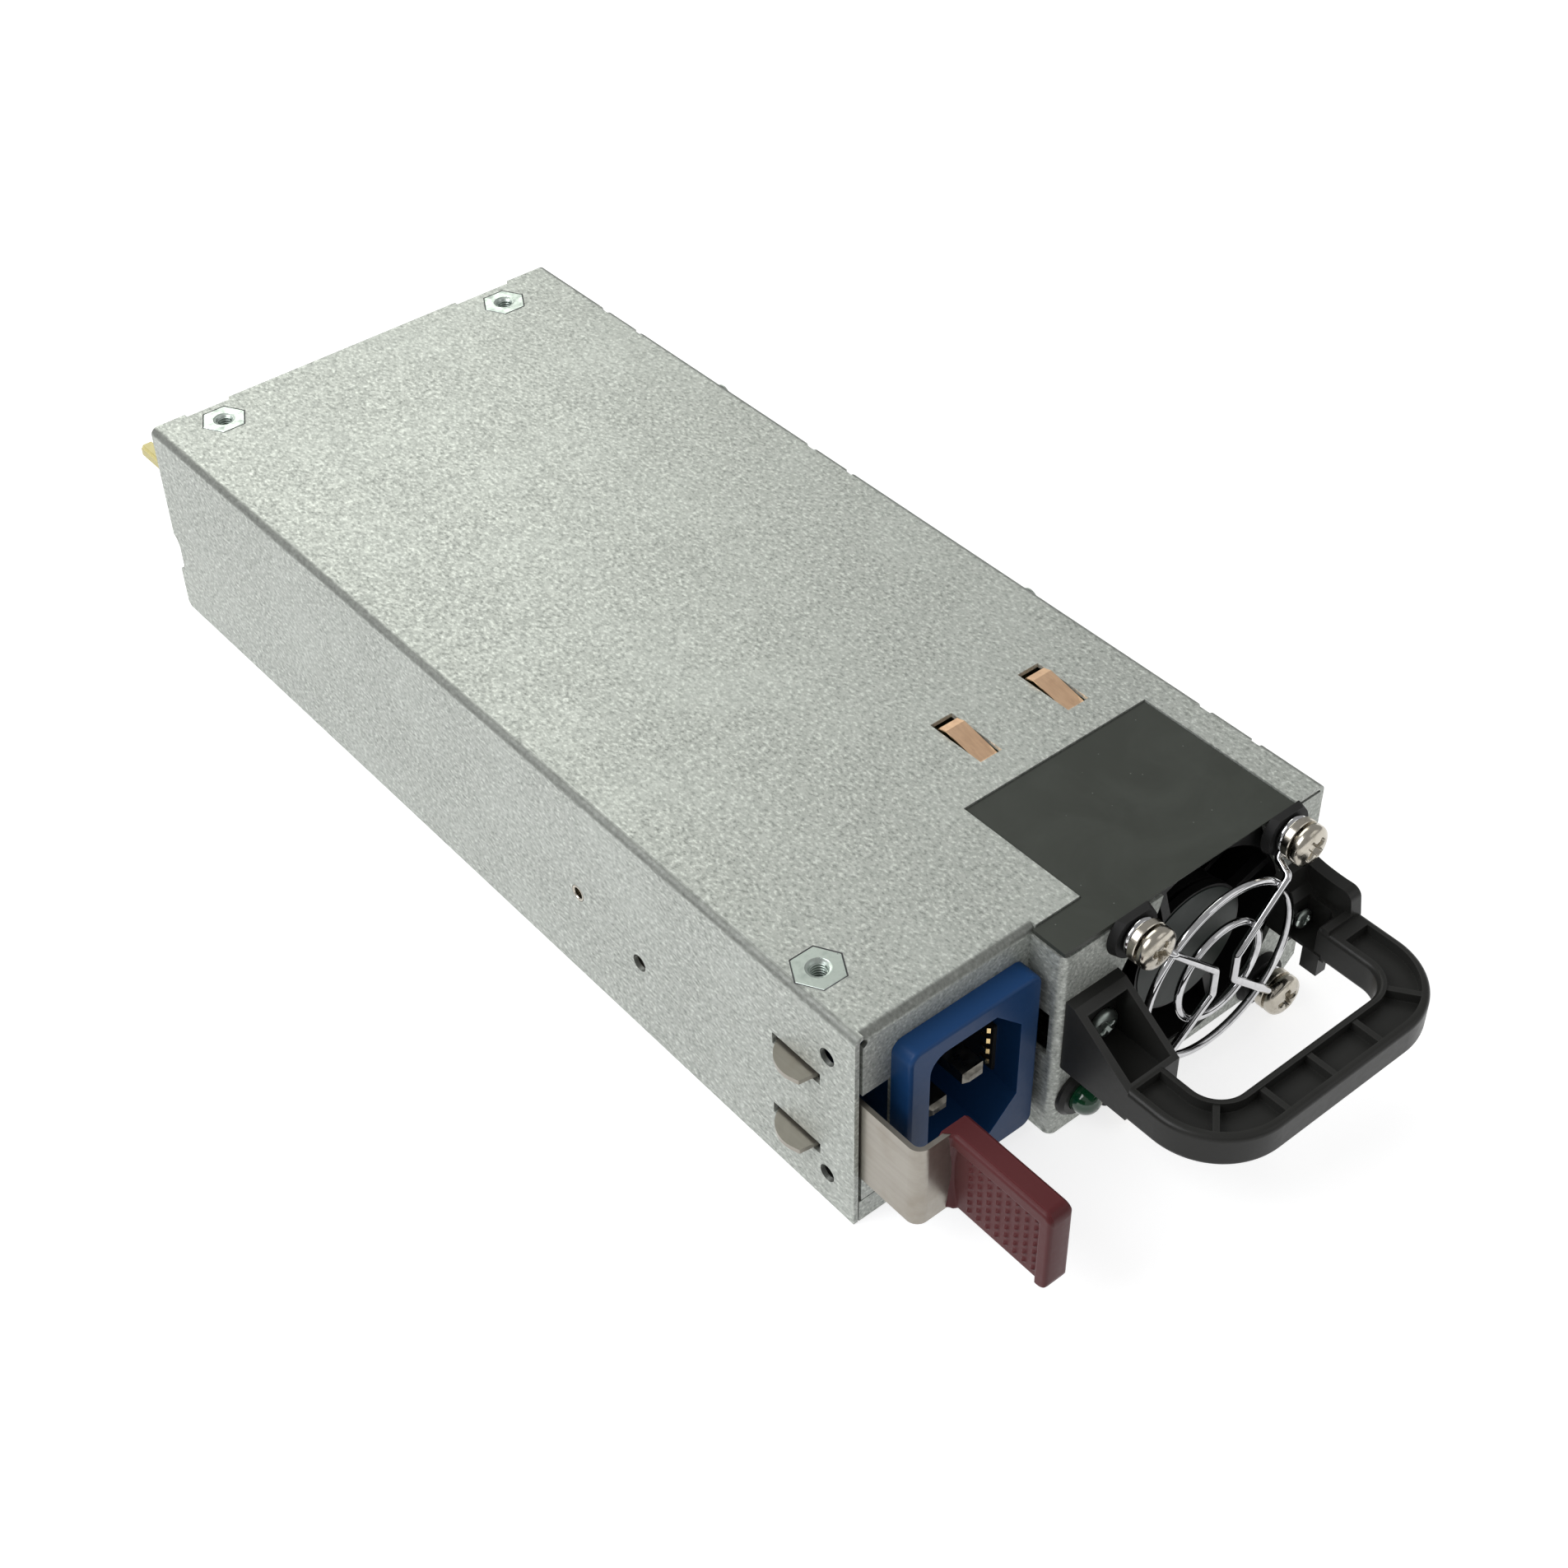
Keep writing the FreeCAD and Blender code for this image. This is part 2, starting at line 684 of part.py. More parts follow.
def inlet_body():
    """C14 inlet moulding stood on its short side, with two clipped corners to the right."""
    body = new_body("inlet_body")
    x0 = inlet_x - inlet_width / 2
    x1 = inlet_x + inlet_width / 2
    z0 = inlet_z - inlet_height / 2 - 0.6
    z1 = inlet_z + inlet_height / 2 - 0.6
    face = inlet_face()
    pad(body, "XZ", [rect(x0, z0, x1, z1)], face, bay_front - 0.05)
    blend(body, 2.0, "Y", [(x0, z0), (x0, z1), (x1, z0), (x1, z1)])
    blend_where(body, 0.6, lambda edge: lies_at_y(edge, face))
    back = face + socket_depth
    pad(body, "XZ", [inlet_shell()], bay_front - 0.05, back + 2.5)
    s0 = inlet_x - socket_width / 2
    s1 = inlet_x + socket_width / 2
    b0 = inlet_z - socket_height / 2
    b1 = inlet_z + socket_height / 2
    round_corner = 3.2
    clip = 5.0
    socket = [
        (s0 + round_corner, b0), (s1 - clip, b0), (s1, b0 + clip), (s1, b1 - clip), (s1 - clip, b1),
        (s0 + round_corner, b1, round_corner), (s0, b1 - round_corner),
        (s0, b0 + round_corner, round_corner)]
    pocket(body, "XZ", [socket], face - 1.0, back)
    passages = [rect(x - 2.05, z - 1.05, x + 2.05, z + 1.05) for x, z in pin_places()]
    pocket(body, "XZ", passages, back - 1.0, back + 4.0)
    low, high = contact_heights()[0], contact_heights()[-1]
    pocket(body, "XZ", [rect(s1 - 3.9, low - 1.3, s1 + 1.3, high + 1.3)], face + 6.6, back)
    return node(body, "inlet_body")


def lies_at_y(edge, y):
    return all(near(vertex.Point.y, y) for vertex in edge.Vertexes)


def inlet_pins():
    """Three nickel blades; each ends behind the inlet as a soldering tail."""
    pins = []
    for i, (x, z) in enumerate(pin_places()):
        body = new_body("pin_%d" % (i + 1), x, 0.0, z)
        start = inlet_face() + (2.6 if i == 2 else 3.4)
        nose = rect(-2.0, -1.0, 2.0, 1.0)
        pad(body, "XZ", [nose], start, inlet_face() + socket_depth + 7.0)
        blend(body, 0.6, "Z", [(-2.0, start), (2.0, start)], "Chamfer")
        pins.append(body)
    return group("inlet_pins", pins)


def contact_block():
    """Black insert in the socket's right wall that carries four signal contacts."""
    low, high = contact_heights()[0], contact_heights()[-1]
    wall = inlet_x + socket_width / 2
    y0 = inlet_face() + 7.1
    block_body = new_body("contact_block")
    pad(block_body, "XZ", [rect(wall - 0.6, low - 1.2, wall + 1.25, high + 1.2)], y0,
        inlet_face() + socket_depth - 0.1)
    node(block_body, "contact_block")
    leaves = []
    for i, z in enumerate(contact_heights()):
        leaf = new_body("contact_%d" % (i + 1))
        reach = [
            (y0 - 0.3, wall - 1.5), (y0 - 0.3, wall + 0.2), (y0 - 0.05, wall + 0.2),
            (y0 - 0.05, wall - 0.65), (y0 + 6.0, wall - 0.65), (y0 + 6.0, wall - 0.9),
            (y0 + 1.0, wall - 0.9)]
        plan = [(x, y) for y, x in reach]
        pad(leaf, "XY", [plan], z - 0.4, z + 0.4)
        leaves.append(leaf)
    return group("inlet_contacts", leaves)


def latch_spring():
    """Spring steel arm: riveted at the rear, bent round in front of the inlet, two locking fins."""
    body = new_body("latch_spring")
    outer = left + steel + 0.3
    inner = outer + latch_steel
    turn = bay_front - latch_reach
    leg = left + 8.7
    tail = bay_front + latch_root + 4.0
    tip = tab_front() + 3.0
    plan = [
        (outer, tail), (outer, turn), (leg, turn), (leg, tip), (leg + latch_steel, tip),
        (leg + latch_steel, turn + latch_steel), (inner, turn + latch_steel), (inner, tail)]
    pad(body, "XY", [plan], latch_low, latch_low + latch_height)
    blend(body, 1.2 + latch_steel, "Z", [(outer, turn), (leg + latch_steel, turn + latch_steel)])
    blend(body, 1.2, "Z", [(inner, turn + latch_steel), (leg, turn)])
    for z in fin_heights():
        fin = [
            (outer + 0.1, bay_front + 8.2), (left - 2.6, bay_front + 8.8),
            (left - 3.1, bay_front + 10.4, -5.4), (outer + 0.1, bay_front + 17.0)]
        pad(body, "XY", [fin], z - latch_steel / 2, z + latch_steel / 2)
    pocket(body, "YZ", [(bay_front + latch_root, 18.2, 1.55)], left, left + 4.0)
    edge = 1.4
    for low in (latch_low - 1.0, latch_low + latch_height - edge):
        notch = rect(tip - 1.0, low, tab_rear() - 0.6, low + edge + 1.0)
        pocket(body, "YZ", [notch], leg - 0.2, leg + latch_steel + 0.2)
    return node(body, "latch_spring")


def tab_rear():
    return bay_front - latch_reach - 0.7


def tab_front():
    return tab_rear() - tab_length


def latch_rivet():
    """Rivet through the left wall that holds the root of the latch arm."""
    shank = 1.4
    head = steel + 0.3 + latch_steel + 0.2
    profile = [
        (0.0, 0.0), (shank, 0.0), (shank, head), (2.6, head), (2.6, head + 0.4),
        (1.8, head + 0.9), (0.0, head + 0.9)]
    body = turned("latch_rivet", profile, left, bay_front + latch_root, 18.2, "X")
    return node(body, "latch_rivet")


def latch_tab(arm):
    """Finger tab moulded on the arm's end: a rounded rim round a pad of small grip studs."""
    body = new_body("tab_moulding")
    x0 = left + 7.0
    x1 = x0 + tab_thickness
    z0 = latch_low
    z1 = latch_low + latch_height
    rear_y = tab_rear()
    front_y = tab_front()
    side = [
        (front_y, z0), (rear_y, z0, 14.0), (rear_y, z1), (front_y, z1)]
    pad(body, "YZ", [side], x0, x1)
    blend(body, 1.6, "X", [(front_y, z0), (front_y, z1), (rear_y, z0), (rear_y, z1)])
    blend_where(body, 0.8, lambda edge: lies_at_x(edge, x0) or lies_at_x(edge, x1))
    grip = [
        (front_y + 2.2, z0 - 1.0), (rear_y - 0.5, z0 - 1.0), (rear_y + 0.6, z0 + 3.0, 12.0),
        (rear_y + 0.6, z1 - 3.4), (rear_y - 0.8, z1 - 1.6), (front_y + 2.2, z1 - 1.6)]
    pocket(body, "YZ", [grip], x0 - 1.0, x0 + 0.8)
    studs = []
    for column in range(8):
        for row in range(6):
            studs.append((front_y + 3.6 + 1.85 * column, z0 + 1.6 + 2.1 * row, 0.36))
    pad(body, "YZ", studs, x0 + 0.7, x0 + 1.15)
    return node(trimmed("latch_tab_on_arm", body, arm), "latch_tab")


def lies_at_x(edge, x):
    return all(near(vertex.Point.x, x) for vertex in edge.Vertexes)


def fan_frame():
    """Square fan frame with a round bore, a four-strut spider and the bearing tube."""
    body = new_body("fan_frame", fan_x, fan_front, fan_z)
    half = fan_size / 2
    pad(body, "XZ", [rect(-half, -half, half, half)], 0.0, fan_depth)
    blend(body, 2.4, "Y", [(-half, -half), (-half, half), (half, -half), (half, half)])
    pocket(body, "XZ", [(0.0, 0.0, fan_bore)], -1.0, fan_depth + 1.0)
    for sx in (-1.0, 1.0):
        for sz in (-1.0, 1.0):
            corner = [
                (half * 0.42 * sx, (half + 1) * sz), ((half + 1) * sx, (half + 1) * sz),
                ((half + 1) * sx, half * 0.42 * sz), (half * 0.985 * sx, half * 0.42 * sz),
                (half * 0.74 * sx, half * 0.74 * sz), (half * 0.42 * sx, half * 0.985 * sz)]
            pocket(body, "XZ", [corner], 3.0, fan_depth - 3.0)
    screw_holes = [
        (fan_pitch / 2 * sx, fan_pitch / 2 * sz, 1.7) for sx in (-1.0, 1.0) for sz in (-1.0, 1.0)]
    pocket(body, "XZ", screw_holes, -1.0, fan_depth + 1.0)
    pad(body, "XZ", [(0.0, 0.0, hub + 0.3)], 0.8, 2.2)
    for k in range(4):
        turn = math.radians(90 * k + 32)
        ux, uz = math.cos(turn), math.sin(turn)
        inner_r, outer_r, wide = hub * 0.9, fan_bore + 0.25, 0.8
        lean = 2.5
        strut = [
            (inner_r * ux - wide * uz, inner_r * uz + wide * ux),
            (inner_r * ux + wide * uz, inner_r * uz - wide * ux),
            (outer_r * ux + (lean + wide) * uz, outer_r * uz - (lean + wide) * ux),
            (outer_r * ux + (lean - wide) * uz, outer_r * uz - (lean - wide) * ux)]
        pad(body, "XZ", [strut], 0.8, 2.4)
    pad(body, "XZ", [(0.0, 0.0, 3.0)], 2.0, 19.0)
    pocket(body, "XZ", [(0.0, 0.0, 2.0)], 3.0, 20.0)
    return node(body, "fan_frame")


def fan_label():
    """Blank round label on the fixed hub."""
    body = turned("fan_label", [(0.0, 0.0), (hub - 0.2, 0.0), (hub - 0.2, 0.15), (0.0, 0.15)],
                  fan_x, fan_front + 0.8, fan_z, "-Y")
    return node(body, "fan_label")


def fan_stator():
    """Wound stator on the bearing tube, inside the rotor's cup."""
    profile = [(3.05, 5.0), (8.4, 5.0), (8.4, 8.0), (6.2, 8.6), (6.2, 13.4), (8.4, 14.0),
               (8.4, 17.0), (3.05, 17.0)]
    return node(turned("fan_stator", profile, fan_x, fan_front, fan_z, "Y"), "fan_stator")


def fan_bearings():
    profile = [(0.85, 0.0), (1.95, 0.0), (1.95, 2.5), (0.85, 2.5)]
    rings = [
        turned("bearing_%d" % i, profile, fan_x, fan_front + y, fan_z, "Y")
        for i, y in enumerate((4.0, 15.5))]
    return group("fan_bearings", rings)


def fan_rotor():
    """Cup-shaped hub with seven twisted blades and its shaft."""
    body = new_body("fan_rotor", fan_x, fan_front, fan_z, (1, 0, 0), -90.0)
    cup = [
        (0.0, 3.3), (0.8, 3.3), (0.8, 21.0), (hub - 1.6, 21.0), (hub - 1.6, 3.0), (hub, 3.0),
        (hub, 21.8), (hub - 0.8, 22.6), (0.0, 22.6)]
    revolve(body, [cup])
    add_blade(body)
    return node(body, "fan_rotor")


def add_blade(body):
    """One blade lofted from hub to tip, then repeated round the hub."""
    sections = []
    for radius, half_chord, pitch in ((hub - 0.9, 7.4, 52.0), (fan_bore + 0.6, 8.2, 36.0)):
        sketch = new_sketch(body, "YZ", radius)
        lean = math.radians(pitch)
        along = (math.cos(lean), math.sin(lean))
        across = (-along[1] * 0.45, along[0] * 0.45)
        points = []
        for s, t in ((-1.0, -0.4), (0.0, -1.3), (1.0, -0.4), (1.0, 0.4), (0.0, -0.2), (-1.0, 0.4)):
            points.append((
                along[0] * half_chord * s + across[0] * t * 1.6,
                13.0 + along[1] * half_chord * s + across[1] * t * 1.6))
        draw(sketch, [points])
        sections.append(sketch)
    blade = body.newObject("PartDesign::AdditiveLoft", "blade")
    blade.Profile = sections[0]
    blade.Sections = [sections[1]]
    blade.Ruled = True
    body.Tip = blade
    blades = body.newObject("PartDesign::PolarPattern", "blades")
    blades.Originals = [blade]
    blades.Axis = (datum(body, "Z_Axis"), [""])
    blades.Angle = 360.0
    blades.Occurrences = 7
    body.Tip = blades
    pocket(body, "XY", [(0.0, 0.0, fan_bore + 6.0), (0.0, 0.0, fan_bore - 0.5)], -1.0, fan_depth)


def bent_wire(points, radius, corner):
    """A wire of eight-sided section along a polyline whose corners are rounded by arcs."""
    vectors = [FreeCAD.Vector(*p) for p in points]
    edges = []
    start = vectors[0]
    for before, at, after in zip(vectors, vectors[1:], vectors[2:]):
        back = (before - at).normalize()
        onward = (after - at).normalize()
        half = back.getAngle(onward) / 2
        reach = corner / math.tan(half)
        p1, p2 = at + back * reach, at + onward * reach
        middle = (back + onward).normalize() * (corner / math.sin(half))
        arc_middle = at + middle - middle.normalize() * corner
        edges.append(Part.makeLine(start, p1))
        edges.append(Part.Arc(p1, arc_middle, p2).toShape())
        start = p2
    edges.append(Part.makeLine(start, vectors[-1]))
    way = (vectors[1] - vectors[0]).normalize()
    turn = FreeCAD.Rotation(FreeCAD.Vector(0, 0, 1), way)
    corners = [
        vectors[0] + turn.multVec(FreeCAD.Vector(x, y, 0)) for x, y in octagon(0.0, 0.0, radius)]
    section = Part.makePolygon(corners + corners[:1])
    return Part.Wire(edges).makePipeShell([section], True, False)


def guard_rings_y():
    return front - 4.4


def guard_eye_y():
    return front - grommet_lip - wire / 2


def fan_guard():
    """Finger guard: two wire rings carried by two V wires that end in screw eyes."""
    parts = [
        turned("guard_ring_outer", octagon(outer_ring, 0.0, wire / 2), fan_x, guard_rings_y(),
               fan_z, "-Y"),
        turned("guard_ring_inner", octagon(inner_ring, 0.0, wire / 2), fan_x, guard_rings_y(),
               fan_z, "-Y")]
    for side in (-1.0, 1.0):
        parts.append(guard_leg(side))
    for i, (x, z) in enumerate(fan_corners()):
        section = octagon(eye_radius, 0.0, wire / 2)
        parts.append(turned("guard_eye_%d" % (i + 1), section, x, guard_eye_y(), z, "-Y"))
    return node(fused("fan_guard", parts), "fan_guard")


def guard_leg(side):
    """V wire of one side: from eye to eye through a blunt point next to the middle."""
    y0 = guard_eye_y().number
    y1 = (guard_rings_y() - wire * 0.96).number
    eye_x = (fan_pitch / 2 - eye_radius * 0.72).number
    bend_at = eye_x - 1.3
    path = [
        (eye_x + 0.2, y0, eye_x + 0.2), (bend_at, y0, bend_at), (bend_at - 0.3, y1, bend_at - 0.3),
        (2.0, y1, 2.6), (2.0, y1, -2.6), (bend_at - 0.3, y1, 0.3 - bend_at),
        (bend_at, y0, -bend_at), (eye_x + 0.2, y0, -eye_x - 0.2)]
    leg = doc.addObject("Part::Feature", "guard_leg_" + ("right" if side > 0 else "left"))
    points = [(side * x, y, z) for x, y, z in path]
    leg.Shape = bent_wire(points, wire.number / 2, 1.0)
    bind(leg, "Placement.Base.x", fan_x)
    bind(leg, "Placement.Base.z", fan_z)
    return leg


def fan_fasteners():
    """Rubber grommets, washers and pan head screws that hold the fan and its guard."""
    grommets, washers, screws = [], [], []
    eye_front = guard_eye_y() - wire / 2
    for i, (x, z) in enumerate(fan_corners()):
        flare = [
            (1.75, -steel - 0.25), (2.5, -steel - 0.25), (2.5, 0.0), (4.6, 0.0),
            (4.2, grommet_lip - 0.02), (1.75, grommet_lip - 0.02)]
        grommet = turned("grommet_%d" % (i + 1), flare, x, front, z, "-Y")
        floor = 0.1 - z if i % 2 == 0 else top - 0.1 - z
        beyond = floor - 3.0 if i % 2 == 0 else floor + 3.0
        low, high = (beyond, floor) if i % 2 == 0 else (floor, beyond)
        pocket(grommet, "XY", [rect(-6.0, low, 6.0, high)], -0.1, grommet_lip + 1.0)
        grommets.append(grommet)
        disc = [
            (1.75, 0.0), (3.5, 0.0), (3.5, 0.55), (3.1, 0.65), (3.1, 1.3), (1.75, 1.3)]
        washers.append(turned("washer_%d" % (i + 1), disc, x, eye_front, z, "-Y"))
        head = [
            (0.0, -14.0), (1.5, -14.0), (1.5, 0.0), (3.5, 0.0), (3.5, 0.7), (2.9, 2.0),
            (1.6, 2.6), (0.0, 2.6)]
        screw = turned("fan_screw_%d" % (i + 1), head, x, eye_front - 1.35, z, "-Y")
        cut_cross(screw, 1.7, 2.7)
        screws.append(screw)
    group("fan_grommets", grommets)
    group("fan_washers", washers)
    group("fan_screws", screws)


def cut_cross(screw, reach, height):
    """Cross recess in a screw head, sunk from the crown."""
    arm = 0.38
    pocket(screw, "XY", [rect(-reach, -arm, reach, arm)], height - 1.5, height + 0.2)
    pocket(screw, "XY", [rect(-arm, -reach, arm, reach)], height - 1.5, height + 0.2)


def handle_left():
    return step_x + 1.1


def handle_right():
    return right - 0.7


def handle_screw_places():
    return [(handle_left() + 6.4, handle_top + 0.3), (handle_right() - 5.3, handle_top - 2.8)]


def handle_loop(inset, back, end):
    """D-shaped band between the two arms, inset from its own rims."""
    x0 = handle_left() + inset
    x1 = handle_right() - inset
    y0 = back - handle_reach + inset
    band = handle_bar - 2 * inset
    outer = handle_corner - inset
    inner = handle_corner - handle_bar + inset
    return [
        (x0, end), (x0, y0 + outer, outer), (x0 + outer, y0), (x1 - outer, y0, outer),
        (x1, y0 + outer), (x1, end), (x1 - band, end), (x1 - band, y0 + band + inner, -inner),
        (x1 - band - inner, y0 + band), (x0 + band + inner, y0 + band, -inner),
        (x0 + band, y0 + band + inner), (x0 + band, end)]


def handle():
    """Moulded D handle: a band with a ribbed channel on top, on two wedge-shaped feet."""
    body = new_body("handle")
    back = front - 0.02
    low = handle_top - handle_depth
    pad(body, "XY", [handle_loop(0.0, back, back)], low, handle_top)
    blend_where(body, 0.9, lambda edge: is_band_rim(edge, back, low))
    x0, x1 = handle_left(), handle_right()
    wedge = [
        (back, low), (back, handle_top + 7.9), (back - 1.6, handle_top + 7.6),
        (back - 13.0, handle_top - 0.3), (back - 13.0, low)]
    pad(body, "YZ", [wedge], x0, x0 + 10.4)
    plate = [
        (back, low), (back, handle_top + 4.9), (back - 1.5, handle_top + 4.7),
        (back - 2.2, handle_top + 1.6), (back - 4.4, handle_top), (back - 4.4, low)]
    pad(body, "YZ", [plate], x1 - 8.0, x1)
    threshold = rect(x1 - handle_bar + 0.1, back - 10.9, x1 - 2.0, back - 9.6)
    pad(body, "XY", [threshold], low, handle_top + 0.7)
    cheek = [
        (back, low), (back, handle_top + 5.2), (back - 3.0, handle_top + 4.6, -30.0),
        (back - 8.6, handle_top + 4.4, 1.75), (back - 10.4, handle_top + 2.8),
        (back - 10.9, handle_top - 0.3), (back - 10.9, low)]
    pad(body, "YZ", [cheek], x1 - 2.3, x1)
    lug = rect(x1 - handle_bar - 0.2, back - 10.2, x1 - handle_bar + 2.0, back - 7.0)
    pad(body, "XY", [lug], low - 3.2, low + 1.0)
    carve_channel(body, back)
    carve_screw_seats(body, back)
    return node(body, "handle")


def is_band_rim(edge, back, low):
    ends = [vertex.Point for vertex in edge.Vertexes]
    level = all(near(p.z, handle_top) for p in ends) or all(near(p.z, low) for p in ends)
    return level and not all(near(p.y, back) for p in ends)


def carve_channel(body, back):
    """Channel in the top of the band, with five ribs left across it."""
    pocket(body, "XY", [handle_loop(1.3, back, back - 13.2)], handle_top - 1.9, handle_top + 1.0)
    middle = back - handle_reach + handle_bar / 2
    ribs = []
    for x in (15.0, 24.8, 34.6):
        centre = handle_left() + x
        ribs.append(rect(centre - 0.5, middle - 2.8, centre + 0.5, middle + 2.8))
    ribs.append(corner_rib(handle_left() + handle_corner, back, 222.0))
    ribs.append(corner_rib(handle_right() - handle_corner, back, 305.0))
    pad(body, "XY", ribs, handle_top - 2.0, handle_top - 0.25)


def corner_rib(x, back, angle):
    """Radial rib across one of the two bends of the band."""
    turn = math.radians(angle)
    along = (math.cos(turn), math.sin(turn))
    across = (-along[1] * 0.5, along[0] * 0.5)
    y = back - handle_reach + handle_corner
    near_r = handle_corner - handle_bar + 1.0
    far_r = handle_corner - 1.0
    return [
        (x + near_r * along[0] - across[0], y + near_r * along[1] - across[1]),
        (x + far_r * along[0] - across[0], y + far_r * along[1] - across[1]),
        (x + far_r * along[0] + across[0], y + far_r * along[1] + across[1]),
        (x + near_r * along[0] + across[0], y + near_r * along[1] + across[1])]


def carve_screw_seats(body, back):
    """Hollow of the left foot, open slot of the right one, and the clearance holes behind them."""
    x0, x1 = handle_left(), handle_right()
    hollow = rect(x0 + 1.3, handle_top - 2.7, x0 + 9.3, handle_top + 6.6)
    pocket(body, "XZ", [hollow], back - 12.2, back - handle_seats[0])
    slot = [
        (x1 - 9.0, back - 9.0), (x1 - 4.2, back - 9.0), (x1 - 3.1, back - 7.6),
        (x1 - 3.1, back - handle_seats[1]), (x1 - 9.0, back - handle_seats[1])]
    pocket(body, "XY", [slot], handle_top - 4.9, handle_top + 6.0)
    for (x, z), floor in zip(handle_screw_places(), handle_seats):
        pocket(body, "XZ", [(x, z, 1.1)], back - floor - 1.0, back + 1.0)


def handle_screws():
    """A pan-head screw in the left foot and a smaller one in the right foot."""
    screws = []
    heads = (2.6, 1.7)
    for i, ((x, z), floor) in enumerate(zip(handle_screw_places(), handle_seats)):
        wide = heads[i]
        head = [
            (0.0, -floor - 0.95), (1.0, -floor - 0.95), (1.0, 0.0), (wide, 0.0), (wide, 0.5),
            (0.6 * wide, 1.6), (0.0, 1.6)]
        screw = turned("handle_screw_%d" % (i + 1), head, x, front - 0.02 - floor, z, "-Y")
        cut_cross(screw, 0.5 * wide, 1.6)
        screws.append(screw)
    return group("handle_screws", screws)


def lamp_place():
    return (step_x + 4.9, lamp_height)


def status_lamp():
    """Green status lamp in its black bezel."""
    x, z = lamp_place()
    collar = [
        (2.6, -4.0), (3.3, -4.0), (3.3, 0.0), (4.1, 0.0), (4.1, 0.6), (3.5, 1.3), (2.6, 1.3)]
    node(turned("lamp_bezel", collar, x, front, z, "-Y"), "lamp_bezel")
    dome = [
        (0.0, -5.0), (2.9, -5.0), (2.9, -4.1), (2.5, -4.1), (2.5, 2.2, 2.5), (0.0, 4.7)]
    node(turned("lamp_lens", dome, x, front, z, "-Y"), "lamp_lens")


def main_board():
    """Main circuit board; its rear tongue passes through the rear wall as a card edge."""
    body = new_body("main_board")
    x0 = left + 2.8
    x1 = right - 3.2
    y1 = rear - 2.6
    tip = rear + card_reach
    outline = [
        (x0, board_front), (x1, board_front), (x1, y1), (card_right(), y1), (card_right(), tip),
        (card_left(), tip), (card_left(), y1), (x0, y1)]
    pad(body, "XY", [outline], board_low, board_top)
    blend(body, 1.5, "Z", [(card_left(), tip), (card_right(), tip)])
    holes = [(x, y, 1.5) for x, y in board_post_places()]
    slot = rect(card_left() + 21.0, rear + 1.0, card_left() + 23.0, tip + 1.0)
    pocket(body, "XY", holes + [slot], board_low - 1.0, board_top + 1.0)
    return node(body, "main_board")


def card_left():
    return left + 3.6


def card_right():
    return right - 18.8


def edge_contacts():
    """Gold fingers on both faces of the card edge: narrow signal ones and broad power ones."""
    starts = [(2.0 + 1.9 * k, 1.2) for k in range(10)] + [(25.0 + 7.8 * k, 6.4) for k in range(5)]
    fingers = []
    for face, z in (("top", board_top), ("under", board_low - 0.05)):
        for i, (start, wide) in enumerate(starts):
            fingers.append(block("finger_%s_%d" % (face, i + 1), card_left() + start, rear + 1.4, z,
                                 wide, card_reach - 2.2, 0.05))
    return group("edge_contacts", fingers)


def board_screws():
    """Screws from below that hold the board to its rear posts."""
    screws = []
    for i, (x, y) in enumerate(board_post_places()):
        shank = inner_bore - 0.03
        reach = board + 3.6
        profile = [(0.0, -2.0), (2.4, -2.0), (2.4, 0.0), (shank, 0.0), (shank, reach), (0.0, reach)]
        screws.append(turned("board_screw_%d" % (i + 1), profile, x, y, board_low, "Z"))
    return group("board_screws", screws)


def earth_lug():
    """Ring terminal under the front standoff, its screw, and the barrel that grips the lead."""
    x, y = nuts[2]
    z = board_top + 2.0
    body = new_body("earth_lug", x, y, z)
    pad(body, "XY", [(0.0, 0.0, 3.1)], -0.8, 0.0)
    pad(body, "XY", [rect(-1.5, 2.0, 1.5, 4.4)], -0.8, 0.0)
    pad(body, "XZ", [(0.0, 0.2, lead + 0.8)], 4.0, 8.6)
    pocket(body, "XZ", [(0.0, 0.2, lead + 0.05)], 4.6, 9.0)
    pocket(body, "XY", [(0.0, 0.0, 1.4)], -2.0, 1.0)
    node(body, "earth_lug")
    shank = inner_bore - 0.03
    profile = [(0.0, -2.8), (2.4, -2.8), (2.4, -0.8), (shank, -0.8), (shank, 1.8), (0.0, 1.8)]
    return node(turned("earth_screw", profile, x, y, z, "Z"), "earth_screw")


def wire_run(label, points, radius):
    """A stiff lead along a path; the path starts at x, y, z and is given from there."""
    x, y, z = points[0]
    run = doc.addObject("Part::Feature", label)
    shifted = [
        (number(px) - number(x), number(py) - number(y), number(pz) - number(z))
        for px, py, pz in points]
    run.Shape = bent_wire(shifted, number(radius), 1.3)
    for prop, value in (("x", x), ("y", y), ("z", z)):
        bind(run, "Placement.Base." + prop, value)
    return run


